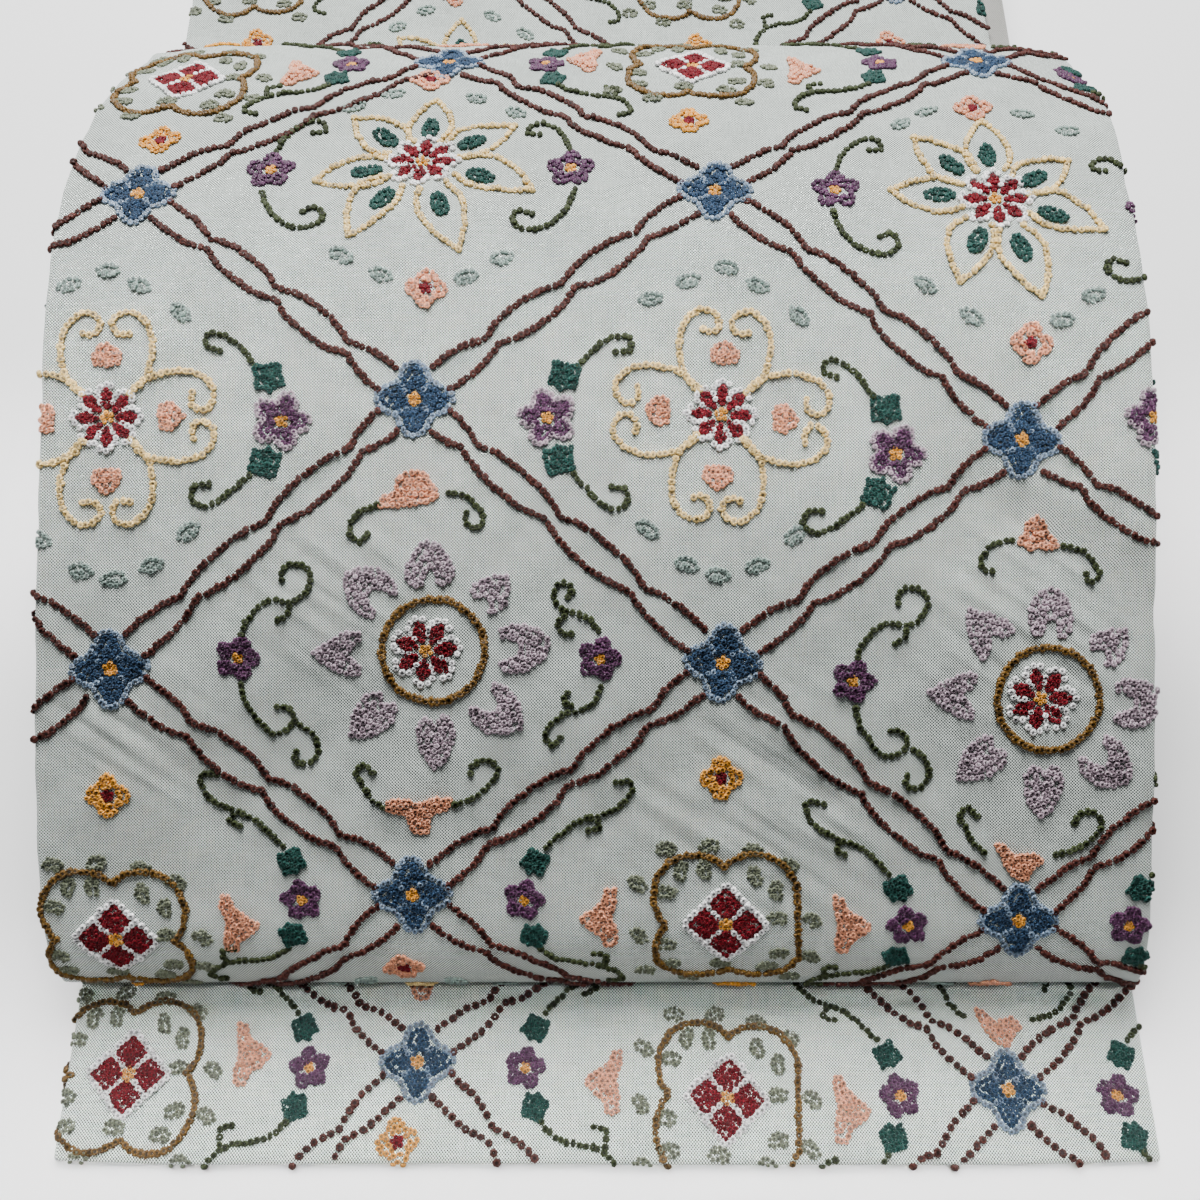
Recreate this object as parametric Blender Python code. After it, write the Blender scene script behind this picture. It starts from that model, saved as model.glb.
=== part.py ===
"""An obi sash folded into a drum bow and laid on a surface.

One strip of doubled silk, 31 cm wide and about 4.3 m long, runs through the whole part.
Its tail lies on the surface, turns back on itself under the bow, curls up into the hollow
drum, turns back again behind it, and runs on over the rest of the sash, folded flat.

Metres, +Z up. The tail points along -Y. The origin is under the middle of the part, on the
surface. Every stretch is worked out from its face line: the side view of its right side,
the embroidered one, followed from the tail to the far end of the sash.
"""

import math

import bmesh
import bpy
from mathutils import Vector

# Driving sizes.
OBI_WIDTH = 0.310
PART_LENGTH = 0.580
FACE_THICKNESS = 0.0013
LINING_THICKNESS = 0.0010
GAP = 0.0003
OBI_THICKNESS = FACE_THICKNESS + GAP + LINING_THICKNESS

# Places along the part, measured from the tip of the tail.
TAIL_FOLD = 0.1575
TAIL_SEAM = 0.0720
DRUM_REAR_SEAM = 0.3420
STRIP_FOLD = 0.2825
STACK_FRONT = 0.1650
STACK_REAR = 0.5720
STACK_CLEARANCE = 0.0009

# The folded rest of the sash.
LAYERS = 8
LAYER_PITCH = 0.0043
STACK_TOP = LAYERS * LAYER_PITCH

# A fold pressed face to face keeps this radius inside it.
PRESSED_RADIUS = 0.0003
# Two lengths that lie face to face at such a fold are this far apart.
FACED_GAP = 2 * PRESSED_RADIUS

# How finely the stretches are cut up.
COLUMNS = 14
STRAIGHT_STEP = 0.020
DRUM_STEP = 0.012
TURN_STEP = math.radians(16)
POINTS_IN_A_SPAN = 40
LEAST_SHARE_OF_A_STEP = 0.4

# The drum's face line. reach: from the tip of the tail. rise: above the surface.
# shift: how far the cloth lies to the right of the middle.
TAIL_TOP = OBI_THICKNESS
STRIP_TOP = STACK_TOP + GAP + OBI_THICKNESS
FRONT_FOOT_RISE = TAIL_TOP + FACED_GAP
REAR_FOOT_RISE = STRIP_TOP + FACED_GAP
TAIL_SHIFT = 0.0020
STRIP_SHIFT = -0.0034
STRIP_REAR_SHIFT = -0.0072
DRUM_STATIONS = [
    # name            reach           rise             shift
    ("front foot", 0.0570, FRONT_FOOT_RISE, 0.0016),
    ("lip", 0.0464, 0.0094, 0.0006),
    ("over the lip", 0.0530, 0.0248, -0.0006),
    ("lower face", 0.0725, 0.0392, -0.0014),
    ("middle face", 0.1245, 0.0668, -0.0011),
    ("upper face", 0.1800, 0.0906, -0.0006),
    ("under the crest", 0.2200, 0.1040, -0.0010),
    ("crest", 0.2560, 0.1070, -0.0012),
    ("shoulder", 0.2990, 0.1012, 0.0018),
    ("brow", 0.3330, 0.0882, 0.0030),
    ("nape", 0.3530, 0.0702, 0.0026),
    ("back", 0.3665, 0.0520, 0.0010),
    ("rear foot", 0.3560, REAR_FOOT_RISE, -0.0018),
]

# Soft hollows in the drum, where the cloth has given way a little.
# across, back, rise: the middle. slant: turn from the width, in degrees.
HOLLOWS = [
    # name                across   back    rise   length  width   depth   slant
    ("right flank", 0.122, 0.150, 0.078, 0.045, 0.020, 0.0030, -42),
    ("left of the node", -0.085, 0.098, 0.053, 0.050, 0.022, 0.0022, 35),
    ("above the lip", 0.020, 0.088, 0.048, 0.080, 0.018, 0.0018, 8),
    ("under the crest", 0.030, 0.195, 0.096, 0.070, 0.024, 0.0016, -12),
    ("behind the crest", -0.060, 0.272, 0.106, 0.060, 0.020, 0.0016, 14),
    ("left brow corner", -0.160, 0.330, 0.089, 0.018, 0.026, 0.0060, 0),
    ("right brow corner", 0.163, 0.326, 0.091, 0.018, 0.030, 0.0076, 0),
]
HOLLOW_RISE = 0.024

# The folded layers, from the surface up. The part's two sides show their edges.
FOLDED_LAYERS = [
    # name             shift
    ("free end", -0.0010),
    ("second", 0.0034),
    ("third", 0.0072),
    ("fourth", 0.0012),
    ("fifth", -0.0046),
    ("sixth", 0.0022),
    ("seventh", 0.0058),
    ("under the strip", 0.0028),
]
EDGE_ROUND = 0.0017
CORNER_ROUND = 0.0030
RISES_IN_A_LAYER = (-0.94, -0.45, 0.45, 0.94)
SIDE_STEPS = 6
END_STEPS = 4

FACE_COLOUR = (0.57, 0.58, 0.55, 1.0)
LINING_COLOUR = (0.46, 0.45, 0.42, 1.0)


def clear_scene():
    for old in list(bpy.data.objects):
        bpy.data.objects.remove(old, do_unlink=True)


def silk(name, colour, roughness):
    """A plain silk material."""
    material = bpy.data.materials.new(name)
    material.use_nodes = True
    shader = material.node_tree.nodes["Principled BSDF"]
    shader.inputs["Base Color"].default_value = colour
    shader.inputs["Roughness"].default_value = roughness
    shader.inputs["Metallic"].default_value = 0.0
    return material


def station(reach, rise, shift):
    """A point of a face line: shift, reach and rise, as x, y and z."""
    return Vector((shift, reach - PART_LENGTH / 2, rise))


def straight(start, end):
    """Points from start up to, and not with, end."""
    count = max(1, math.ceil((end - start).length / STRAIGHT_STEP))
    return [start.lerp(end, i / count) for i in range(count)]


def half_turn(start, radius, heading, rising):
    """A fold: half a circle from start. heading and rising are +1 or -1, along Y and Z."""
    steps = math.ceil(math.pi / TURN_STEP)
    points = []
    for i in range(steps + 1):
        angle = math.pi * i / steps
        reach = heading * radius * math.sin(angle)
        rise = rising * radius * (1 - math.cos(angle))
        points.append(start + Vector((0, reach, rise)))
    return points


def beyond(foot, neighbour):
    """A station past a foot, placed so that a smooth line through both meets the foot level."""
    return Vector((2 * foot.x - neighbour.x, 2 * foot.y - neighbour.y, neighbour.z))


def smooth_line(stations):
    """A smooth line from foot to foot, as a centripetal Catmull-Rom curve."""
    before_first = beyond(stations[0], stations[1])
    after_last = beyond(stations[-1], stations[-2])
    ends = [before_first, *stations, after_last]
    points = []
    for before, start, end, after in zip(ends, ends[1:], ends[2:], ends[3:]):
        knots = [0.0]
        for a, b in ((before, start), (start, end), (end, after)):
            knots.append(knots[-1] + math.sqrt((b - a).length))
        for i in range(POINTS_IN_A_SPAN):
            t = knots[1] + (knots[2] - knots[1]) * i / POINTS_IN_A_SPAN
            points.append(curve_point((before, start, end, after), knots, t))
    points.append(stations[-1])
    return points


def curve_point(corners, knots, t):
    """One point of a Catmull-Rom span, by blending its four corners pair by pair."""
    level = list(corners)
    for order in (1, 2):
        level = [
            blend_between(level[i], level[i + 1], knots[i], knots[i + order], t)
            for i in range(len(level) - 1)
        ]
    return blend_between(level[0], level[1], knots[1], knots[2], t)


def blend_between(a, b, start, end, t):
    return a.lerp(b, (t - start) / (end - start))


def thinned(points):
    """Thins a fine line out: a point for each step along it and for each step of its bend."""
    kept = [points[0]]
    travelled = 0.0
    for before, here, after in zip(points, points[1:], points[2:]):
        bend = (here - before).angle(after - here)
        travelled += (here - before).length / DRUM_STEP + bend / TURN_STEP
        if travelled >= 1.0:
            kept.append(here)
            travelled = 0.0
    if travelled < LEAST_SHARE_OF_A_STEP:
        kept.pop()
    kept.append(points[-1])
    return kept


def hollow_depth(point):
    """How far the drum's cloth sinks at a point, from all of its soft hollows."""
    depth = 0.0
    for _name, across, back, rise, length, width, deep, slant in HOLLOWS:
        turn = math.radians(slant)
        dx = point.x - across
        dy = point.y - station(back, 0, 0).y
        along = dx * math.cos(turn) + dy * math.sin(turn)
        beside = dy * math.cos(turn) - dx * math.sin(turn)
        spread = (along / length) ** 2 + (beside / width) ** 2
        spread += ((point.z - rise) / HOLLOW_RISE) ** 2
        depth += deep * math.exp(-spread)
    return depth


def face_grid(line):
    """Rows of points across the sash, one row for each point of its face line."""
    grid = []
    for point in line:
        row = []
        for column in range(COLUMNS + 1):
            across = OBI_WIDTH * (column / COLUMNS - 0.5)
            row.append(point + Vector((across, 0, 0)))
        grid.append(row)
    return grid


def normals(grid):
    """The right side's normal at each point of a grid."""
    last_row, last_column = len(grid) - 1, len(grid[0]) - 1
    rows = []
    for i in range(len(grid)):
        row = []
        for j in range(len(grid[0])):
            along = grid[min(i + 1, last_row)][j] - grid[max(i - 1, 0)][j]
            across = grid[i][min(j + 1, last_column)] - grid[i][max(j - 1, 0)]
            row.append(across.cross(along).normalized())
        rows.append(row)
    return rows


def sunk(grid, depth_at):
    """The grid, with each point sunk behind the right side by depth_at(point)."""
    return [
        [point - normal * depth_at(point) for point, normal in zip(row, facing)]
        for row, facing in zip(grid, normals(grid))
    ]


def link(name, mesh, material):
    piece = bpy.data.objects.new(name, mesh)
    piece.data.materials.append(material)
    bpy.context.scene.collection.objects.link(piece)
    return piece


def cloth_wall(name, grid, thickness, material):
    """A sheet through the grid, given its thickness behind the right side by Solidify."""
    shape = bmesh.new()
    rows = [[shape.verts.new(point) for point in row] for row in grid]
    for near, far in zip(rows, rows[1:]):
        for a, b, c, d in zip(near, near[1:], far[1:], far):
            shape.faces.new((a, b, c, d))
    mesh = bpy.data.meshes.new(name)
    shape.to_mesh(mesh)
    shape.free()
    mesh.shade_smooth()
    piece = link(name, mesh, material)
    wall = piece.modifiers.new("thickness", "SOLIDIFY")
    wall.thickness = thickness
    wall.offset = -1.0
    wall.use_even_offset = True
    return piece


def make_tail(material):
    """The tail, from its tip back to the fold under the bow, and forward to the drum."""
    tip = station(0, TAIL_TOP, TAIL_SHIFT)
    fold = station(TAIL_FOLD, TAIL_TOP, TAIL_SHIFT)
    turn = half_turn(fold, PRESSED_RADIUS, heading=1, rising=1)
    seam = station(TAIL_SEAM, FRONT_FOOT_RISE, TAIL_SHIFT)
    line = straight(tip, fold) + turn[:-1] + straight(turn[-1], seam) + [seam]
    return cloth_wall("tail", face_grid(line), OBI_THICKNESS, material)


def drum_grid():
    """The drum's face, from its front seam, foot and lip up over the top to its rear seam."""
    front_seam = station(TAIL_SEAM - GAP, FRONT_FOOT_RISE, TAIL_SHIFT)
    rear_seam = station(DRUM_REAR_SEAM + GAP, REAR_FOOT_RISE, STRIP_SHIFT)
    stations = [station(*sizes) for _name, *sizes in DRUM_STATIONS]
    curve = thinned(smooth_line(stations))
    return sunk(face_grid([front_seam, *curve, rear_seam]), hollow_depth)


def make_drum(face_silk, lining_silk):
    """The hollow drum: its face cloth, and the lining that follows it inside."""
    grid = drum_grid()
    cloth_wall("drum_face", grid, FACE_THICKNESS, face_silk)
    inner_grid = sunk(grid, lambda _point: FACE_THICKNESS + GAP)
    cloth_wall("drum_lining", inner_grid, LINING_THICKNESS, lining_silk)


def make_back_strip(material):
    """The sash behind the drum: under its rear foot, over the folded layers and round them."""
    seam = station(DRUM_REAR_SEAM, REAR_FOOT_RISE, STRIP_SHIFT)
    fold = station(STRIP_FOLD, REAR_FOOT_RISE, STRIP_SHIFT)
    turn = half_turn(fold, PRESSED_RADIUS, heading=-1, rising=-1)
    rear_radius = (STRIP_TOP - STACK_TOP + LAYER_PITCH) / 2
    rear = station(PART_LENGTH - rear_radius, STRIP_TOP, STRIP_REAR_SHIFT)
    rear_turn = half_turn(rear, rear_radius, heading=1, rising=-1)
    end = station(STACK_REAR + STACK_CLEARANCE, rear_turn[-1].z, STRIP_REAR_SHIFT)
    line = straight(seam, fold) + turn[:-1] + straight(turn[-1], rear) + rear_turn + [end]
    return cloth_wall("back_strip", face_grid(line), OBI_THICKNESS, material)


def drawn_in(share):
    """How far a rounded edge draws in, for a share of the way from its middle to its end."""
    return 1 - math.sqrt(max(0.0, 1 - share * share))


def layer_ring(rise, left, right, front, rear):
    """A level ring round the folded layers, with its four corners rounded."""
    right_centre, left_centre = right - CORNER_ROUND, left + CORNER_ROUND
    front_centre, rear_centre = front + CORNER_ROUND, rear - CORNER_ROUND
    corners = [
        # x, y, angle where its round starts, how many steps the next side takes
        (right_centre, front_centre, -90, SIDE_STEPS),
        (right_centre, rear_centre, 0, END_STEPS),
        (left_centre, rear_centre, 90, SIDE_STEPS),
        (left_centre, front_centre, 180, END_STEPS),
    ]
    rounds = []
    for x, y, first, _steps in corners:
        turns = [math.radians(first + turn) for turn in (0, 45, 90)]
        spokes = [Vector((math.cos(turn), math.sin(turn), 0)) for turn in turns]
        rounds.append([Vector((x, y, rise)) + CORNER_ROUND * spoke for spoke in spokes])
    ring = []
    for index, (_x, _y, _first, steps) in enumerate(corners):
        end = rounds[index][-1]
        following = rounds[(index + 1) % len(rounds)][0]
        ring += rounds[index]
        ring += [end.lerp(following, i / steps) for i in range(1, steps)]
    return ring


def stack_rings():
    """The rings of the folded layers, from the surface up.

    Each layer's two sides are rounded. At the ends a nose takes in two layers, where the
    sash turns from one to the next: rear noses join the even pairs and front ones the odd.
    """
    front_end = station(STACK_FRONT, 0, 0).y
    rear_end = station(STACK_REAR, 0, 0).y
    rings = []
    for number, (_name, shift) in enumerate(FOLDED_LAYERS):
        for part in RISES_IN_A_LAYER:
            rise = (number + (part + 1) / 2) * LAYER_PITCH
            if (number, part) == (0, RISES_IN_A_LAYER[0]):
                rise = 0.0
            if (number, part) == (LAYERS - 1, RISES_IN_A_LAYER[-1]):
                rise = STACK_TOP
            side = EDGE_ROUND * drawn_in(part)
            front_nose = (rise / LAYER_PITCH) % 2 - 1
            rear_nose = (rise / LAYER_PITCH + 1) % 2 - 1
            rings.append(
                layer_ring(
                    rise,
                    shift - OBI_WIDTH / 2 + side,
                    shift + OBI_WIDTH / 2 - side,
                    front_end + 2 * EDGE_ROUND * drawn_in(front_nose),
                    rear_end - 2 * EDGE_ROUND * drawn_in(rear_nose),
                )
            )
    return rings


def make_folded_layers(material):
    """The rest of the sash, folded to and fro under the strip: one solid, layered at its edges."""
    shape = bmesh.new()
    rings = [[shape.verts.new(point) for point in ring] for ring in stack_rings()]
    for lower, upper in zip(rings, rings[1:]):
        count = len(lower)
        for i in range(count):
            after = (i + 1) % count
            shape.faces.new((lower[i], lower[after], upper[after], upper[i]))
    shape.faces.new(reversed(rings[0]))
    shape.faces.new(rings[-1])
    mesh = bpy.data.meshes.new("folded_layers")
    shape.to_mesh(mesh)
    shape.free()
    return link("folded_layers", mesh, material)


def main():
    clear_scene()
    face_silk = silk("embroidered silk", FACE_COLOUR, 0.6)
    lining_silk = silk("plain silk lining", LINING_COLOUR, 0.65)
    make_tail(face_silk)
    make_drum(face_silk, lining_silk)
    make_back_strip(face_silk)
    make_folded_layers(lining_silk)


main()
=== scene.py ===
"""The looks of an obi sash, folded into a drum bow and laid on a table.

The sash is followed from the tip of its tail. x runs across it from its middle, and t runs
along its right side, the embroidered one. Metres, +Z up, with the tail towards -Y.
"""
import math

import bpy
import numpy as np
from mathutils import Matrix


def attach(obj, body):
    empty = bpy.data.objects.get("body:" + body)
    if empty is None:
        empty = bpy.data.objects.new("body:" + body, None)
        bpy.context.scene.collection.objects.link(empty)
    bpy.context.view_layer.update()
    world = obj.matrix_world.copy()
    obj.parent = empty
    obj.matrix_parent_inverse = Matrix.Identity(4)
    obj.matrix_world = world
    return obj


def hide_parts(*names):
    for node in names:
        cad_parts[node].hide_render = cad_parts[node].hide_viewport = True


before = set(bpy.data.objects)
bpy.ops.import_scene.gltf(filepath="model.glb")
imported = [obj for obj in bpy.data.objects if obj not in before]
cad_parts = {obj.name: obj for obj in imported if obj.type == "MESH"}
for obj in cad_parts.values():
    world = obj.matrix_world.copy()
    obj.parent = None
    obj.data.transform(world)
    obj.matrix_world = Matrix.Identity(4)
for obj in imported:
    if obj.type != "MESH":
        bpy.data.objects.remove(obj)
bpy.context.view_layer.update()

bpy.ops.object.select_all(action="DESELECT")


# ---------- the tail
# The tip of the sash, flat on the table. Grey silk and a plain silk lining are sewn together
# round a stiff core along both edges and the tip, and pressed back on themselves at a fold.
OBI_WIDTH = 0.310
PART_LENGTH = 0.580
# The thicknesses of the silk and of its lining, and the core between them.
FACE = 0.0013
LINING = 0.0010
GAP = 0.0003
DOUBLED = FACE + GAP + LINING
EDGE_RADIUS = FACE / 2
FLAT_HALF = OBI_WIDTH / 2 - EDGE_RADIUS
CLOTH_STEP = 0.004
PRESSED_RADIUS = 0.0003
TURN_POINTS = 10
EDGE_ANGLES = (0, 40, 90, 140, 180)
DOUBLED_SETBACK = 0.0003
TAIL_TOP = DOUBLED
TAIL_FOLD = 0.1575
TAIL_SEAM = 0.0720
TAIL_SHIFT = 0.0020
TIP_RADIUS = DOUBLED / 2
TIP_SETBACKS = (0.02, 0.15, 0.4, 0.7, 1.0)
# The tip isn't quite straight: how far it reaches past its seam line at x.
TIP_REACH = [
    (-0.155, 0.0006),
    (-0.120, 0.0018),
    (-0.050, 0.0014),
    (0.030, 0.0018),
    (0.110, 0.0017),
    (0.155, 0.0009),
]
TIP_EASE = 0.020


def station(reach, rise, shift):
    """A point of the sash's middle line. reach is from the tail's tip, rise from the table."""
    return np.array((shift, reach - PART_LENGTH / 2, rise))


def straight(start, end, step=CLOTH_STEP):
    """Points from start up to, and not with, end."""
    count = max(1, math.ceil(np.linalg.norm(end - start) / step))
    return [start + (end - start) * i / count for i in range(count)]


def half_turn(start, radius, heading, rising):
    """A fold: half a circle from start. heading and rising are +1 or -1, along Y and Z."""
    points = []
    for angle in np.linspace(0.0, math.pi, TURN_POINTS + 1):
        reach = heading * radius * math.sin(angle)
        rise = rising * radius * (1 - math.cos(angle))
        points.append(start + np.array((0.0, reach, rise)))
    return points


def unit(vectors):
    return vectors / np.linalg.norm(vectors, axis=-1, keepdims=True)


def runs_along(line):
    """How far along the line each of its points is."""
    steps = np.linalg.norm(np.diff(line, axis=0), axis=1)
    return np.concatenate(([0.0], np.cumsum(steps)))


class Stretch:
    """A stretch of the sash, as a grid of points on its right side in rows across it."""

    def __init__(self, line, start=0.0, step=CLOTH_STEP, give=None, tip_radius=0.0):
        line = np.array(line)
        self.t = start + runs_along(line)
        self.x = np.linspace(-FLAT_HALF, FLAT_HALF, round(2 * FLAT_HALF / step) + 1)
        self.middle = line[:, None] + self.x[None, :, None] * np.array((1.0, 0.0, 0.0))
        if give is not None:
            self.middle = give(self)
        self.inward = -self.facing(self.middle)
        setback = np.clip((self.t - start) / max(tip_radius, 1e-9), 0.0, 1.0)
        self.drawn_in = tip_radius * (1 - np.sqrt(1 - (1 - setback) ** 2))
        self.points = self.middle + self.inward * self.drawn_in[:, None, None]
        self.normals = self.facing(self.points)

    @staticmethod
    def facing(points):
        """The right side's normals on a grid of points."""
        across = np.gradient(points, axis=1)
        along = np.gradient(points, axis=0)
        return unit(np.cross(across, along))

    def place(self, x, t):
        """Points, normals and directions along the sash at x and t, past its edges too."""
        row = np.interp(t, self.t, np.arange(len(self.t)))
        column = np.interp(x, self.x, np.arange(len(self.x)))
        i = np.minimum(row.astype(int), len(self.t) - 2)
        j = np.minimum(column.astype(int), len(self.x) - 2)
        down = (row - i)[:, None]
        beside = (column - j)[:, None]

        def read(grid):
            near = grid[i, j] * (1 - beside) + grid[i, j + 1] * beside
            far = grid[i + 1, j] * (1 - beside) + grid[i + 1, j + 1] * beside
            return near * (1 - down) + far * down

        normals = unit(read(self.normals))
        along = unit(self.points[i + 1, j] - self.points[i, j])
        over = np.clip(np.abs(x) - FLAT_HALF, 0.0, None)[:, None] / EDGE_RADIUS
        outward = unit(np.cross(along, normals)) * np.sign(x)[:, None]
        points = read(self.points)
        points += EDGE_RADIUS * (np.sin(over) * outward - (1 - np.cos(over)) * normals)
        return points, unit(np.cos(over) * normals + np.sin(over) * outward), along


def edge_profile(*cloths):
    """How a wall's side edge goes round each of its cloths: (depth, reach out) points."""
    points = []
    for depth, thickness, setback in cloths:
        radius = thickness / 2
        for angle in np.radians(EDGE_ANGLES):
            turned = radius * (1 - math.cos(angle))
            points.append((depth + turned, radius * math.sin(angle) - setback))
    return points[1:-1]


DOUBLED_EDGE = edge_profile((0.0, FACE, 0.0), (FACE + GAP, LINING, DOUBLED_SETBACK))


def build_mesh(name, points, faces, uvs, materials, face_materials=None):
    """A smooth mesh object from points, faces with an equal count of corners, and their UVs."""
    mesh = bpy.data.meshes.new(name)
    mesh.vertices.add(len(points))
    mesh.vertices.foreach_set("co", np.asarray(points, np.float32).ravel())
    corners = np.concatenate([np.asarray(block).ravel() for block in faces])
    sizes = np.concatenate([np.full(len(block), block.shape[1]) for block in faces])
    mesh.loops.add(len(corners))
    mesh.loops.foreach_set("vertex_index", corners.astype(np.int32))
    mesh.polygons.add(len(sizes))
    starts = np.concatenate(([0], np.cumsum(sizes)[:-1]))
    mesh.polygons.foreach_set("loop_start", starts.astype(np.int32))
    layer = mesh.uv_layers.new(name="UVMap")
    layer.data.foreach_set("uv", np.concatenate([u.reshape(-1) for u in uvs]).astype(np.float32))
    for material in materials:
        mesh.materials.append(material)
    if face_materials is not None:
        mesh.polygons.foreach_set("material_index", face_materials.astype(np.int32))
    mesh.update(calc_edges=True)
    mesh.shade_smooth()
    piece = bpy.data.objects.new(name, mesh)
    bpy.context.scene.collection.objects.link(piece)
    return piece


def cloth_wall(name, stretch, thickness, profile, material):
    """The stretch's wall: right side, side edges that follow the profile, and wrong side."""
    depth = (thickness - stretch.drawn_in)[:, None, None]
    back = (stretch.middle + stretch.inward * depth)[:, ::-1]
    squeeze = 1 - 2 * stretch.drawn_in / thickness
    right, left = [], []
    for deep, out in profile:
        inset = stretch.drawn_in + deep * squeeze
        reach_out = np.outer(out * squeeze, (1.0, 0.0, 0.0))
        right.append(stretch.middle[:, -1] + stretch.inward[:, -1] * inset[:, None] + reach_out)
        left.append(stretch.middle[:, 0] + stretch.inward[:, 0] * inset[:, None] - reach_out)
    rings = np.concatenate(
        (stretch.points, np.stack(right, 1), back, np.stack(left[::-1], 1)), axis=1
    )
    rows, count = rings.shape[:2]
    i, j = np.meshgrid(np.arange(rows - 1), np.arange(count), indexing="ij")
    after = (j + 1) % count
    walls = np.stack(
        (i * count + j, i * count + after, (i + 1) * count + after, (i + 1) * count + j), -1
    )
    ring = rings[rows // 2]
    around = runs_along(np.vstack((ring, ring[:1]))) + stretch.x[0]
    u = np.stack((around[j], around[j + 1], around[j + 1], around[j]), -1)
    v = np.stack((stretch.t[i], stretch.t[i], stretch.t[i + 1], stretch.t[i + 1]), -1)
    wall_uvs = np.stack((u, v), -1)
    columns = len(stretch.x)
    face_side = np.arange(columns)
    back_side = columns + len(profile) + columns - 1 - face_side
    cap = np.stack((face_side[1:], face_side[:-1], back_side[:-1], back_side[1:]), -1)
    last = (rows - 1) * count
    right_side = np.arange(columns - 1, columns + len(profile) + 1)
    left_side = np.append(np.arange(count - len(profile) - 1, count), 0)
    sides = np.stack((right_side[::-1], left_side[::-1]))
    faces = [walls.reshape(-1, 4), cap, cap[:, ::-1] + last, sides, sides[:, ::-1] + last]
    cap_uvs = [np.stack((around[f % count], np.full(f.shape, t)), -1)
               for f, t in zip(faces[1:], (stretch.t[0], stretch.t[-1]) * 2)]
    return build_mesh(name, rings.reshape(-1, 3), faces, [wall_uvs, *cap_uvs], [material])


def new_material(name):
    """A material, its nodes and its shader."""
    material = bpy.data.materials.new(name)
    material.use_nodes = True
    return material, material.node_tree, material.node_tree.nodes["Principled BSDF"]


def feed(tree, made, inputs):
    """Sets a shader node's inputs, which are values or other outputs."""
    for socket, value in inputs.items():
        if isinstance(value, bpy.types.NodeSocket):
            tree.links.new(value, made.inputs[socket])
        else:
            made.inputs[socket].default_value = value


def node(tree, kind, inputs, output=0, **settings):
    """An output of a new shader node."""
    made = tree.nodes.new("ShaderNode" + kind)
    for key, value in settings.items():
        setattr(made, key, value)
    feed(tree, made, inputs)
    return made.outputs[output]


def calc(tree, operation, *values):
    return node(tree, "Math", dict(enumerate(values)), operation=operation)


def noise(tree, place, scale, detail):
    return node(tree, "TexNoise", {"Vector": place, "Scale": scale, "Detail": detail})


def remap(tree, value, from_low, from_high, low, high, **settings):
    inputs = {0: value, 1: from_low, 2: from_high, 3: low, 4: high}
    return node(tree, "MapRange", inputs, **settings)


def scaled(tree, colour, amount):
    return node(tree, "VectorMath", {0: colour, 3: amount}, operation="SCALE")


def bump(tree, height, strength, distance, **under):
    inputs = {"Height": height, "Strength": strength, "Distance": distance, **under}
    return node(tree, "Bump", inputs)


THREAD_PITCH = 0.00043
THREAD_WANDER = THREAD_PITCH * 1.2
WANDER_SCALE = 160.0
SLUB_SCALES = ((2200.0, 150.0, 1.0), (150.0, 2200.0, 1.0))
SLUB_SHARE = 0.25
# The heights in the weave between which the gap's colour gives way to the thread's.
THREAD_SHOWS = (0.1, 0.4)
WEAVE_HEIGHT = 0.00016
WEAVE_STRENGTH = 0.8
CLOUD_SCALE = 34.0
CLOUD_TONES = (0.90, 1.05)
SOFT_CREASE_TURN = math.radians(-35)
SOFT_CREASE_SIZE = (0.042, 0.0045, 1.0)
SOFT_CREASE_DEPTH = 0.0034
SOFT_CREASES_ELSEWHERE = 0.15
SOFT_CREASE_SPOTS = [
    # x, t, reach
    (0.045, 0.330, 0.062),
    (0.120, 0.385, 0.052),
    (-0.070, 0.390, 0.042),
    (-0.130, 0.350, 0.040),
    (0.020, 0.920, 0.080),
]


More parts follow.
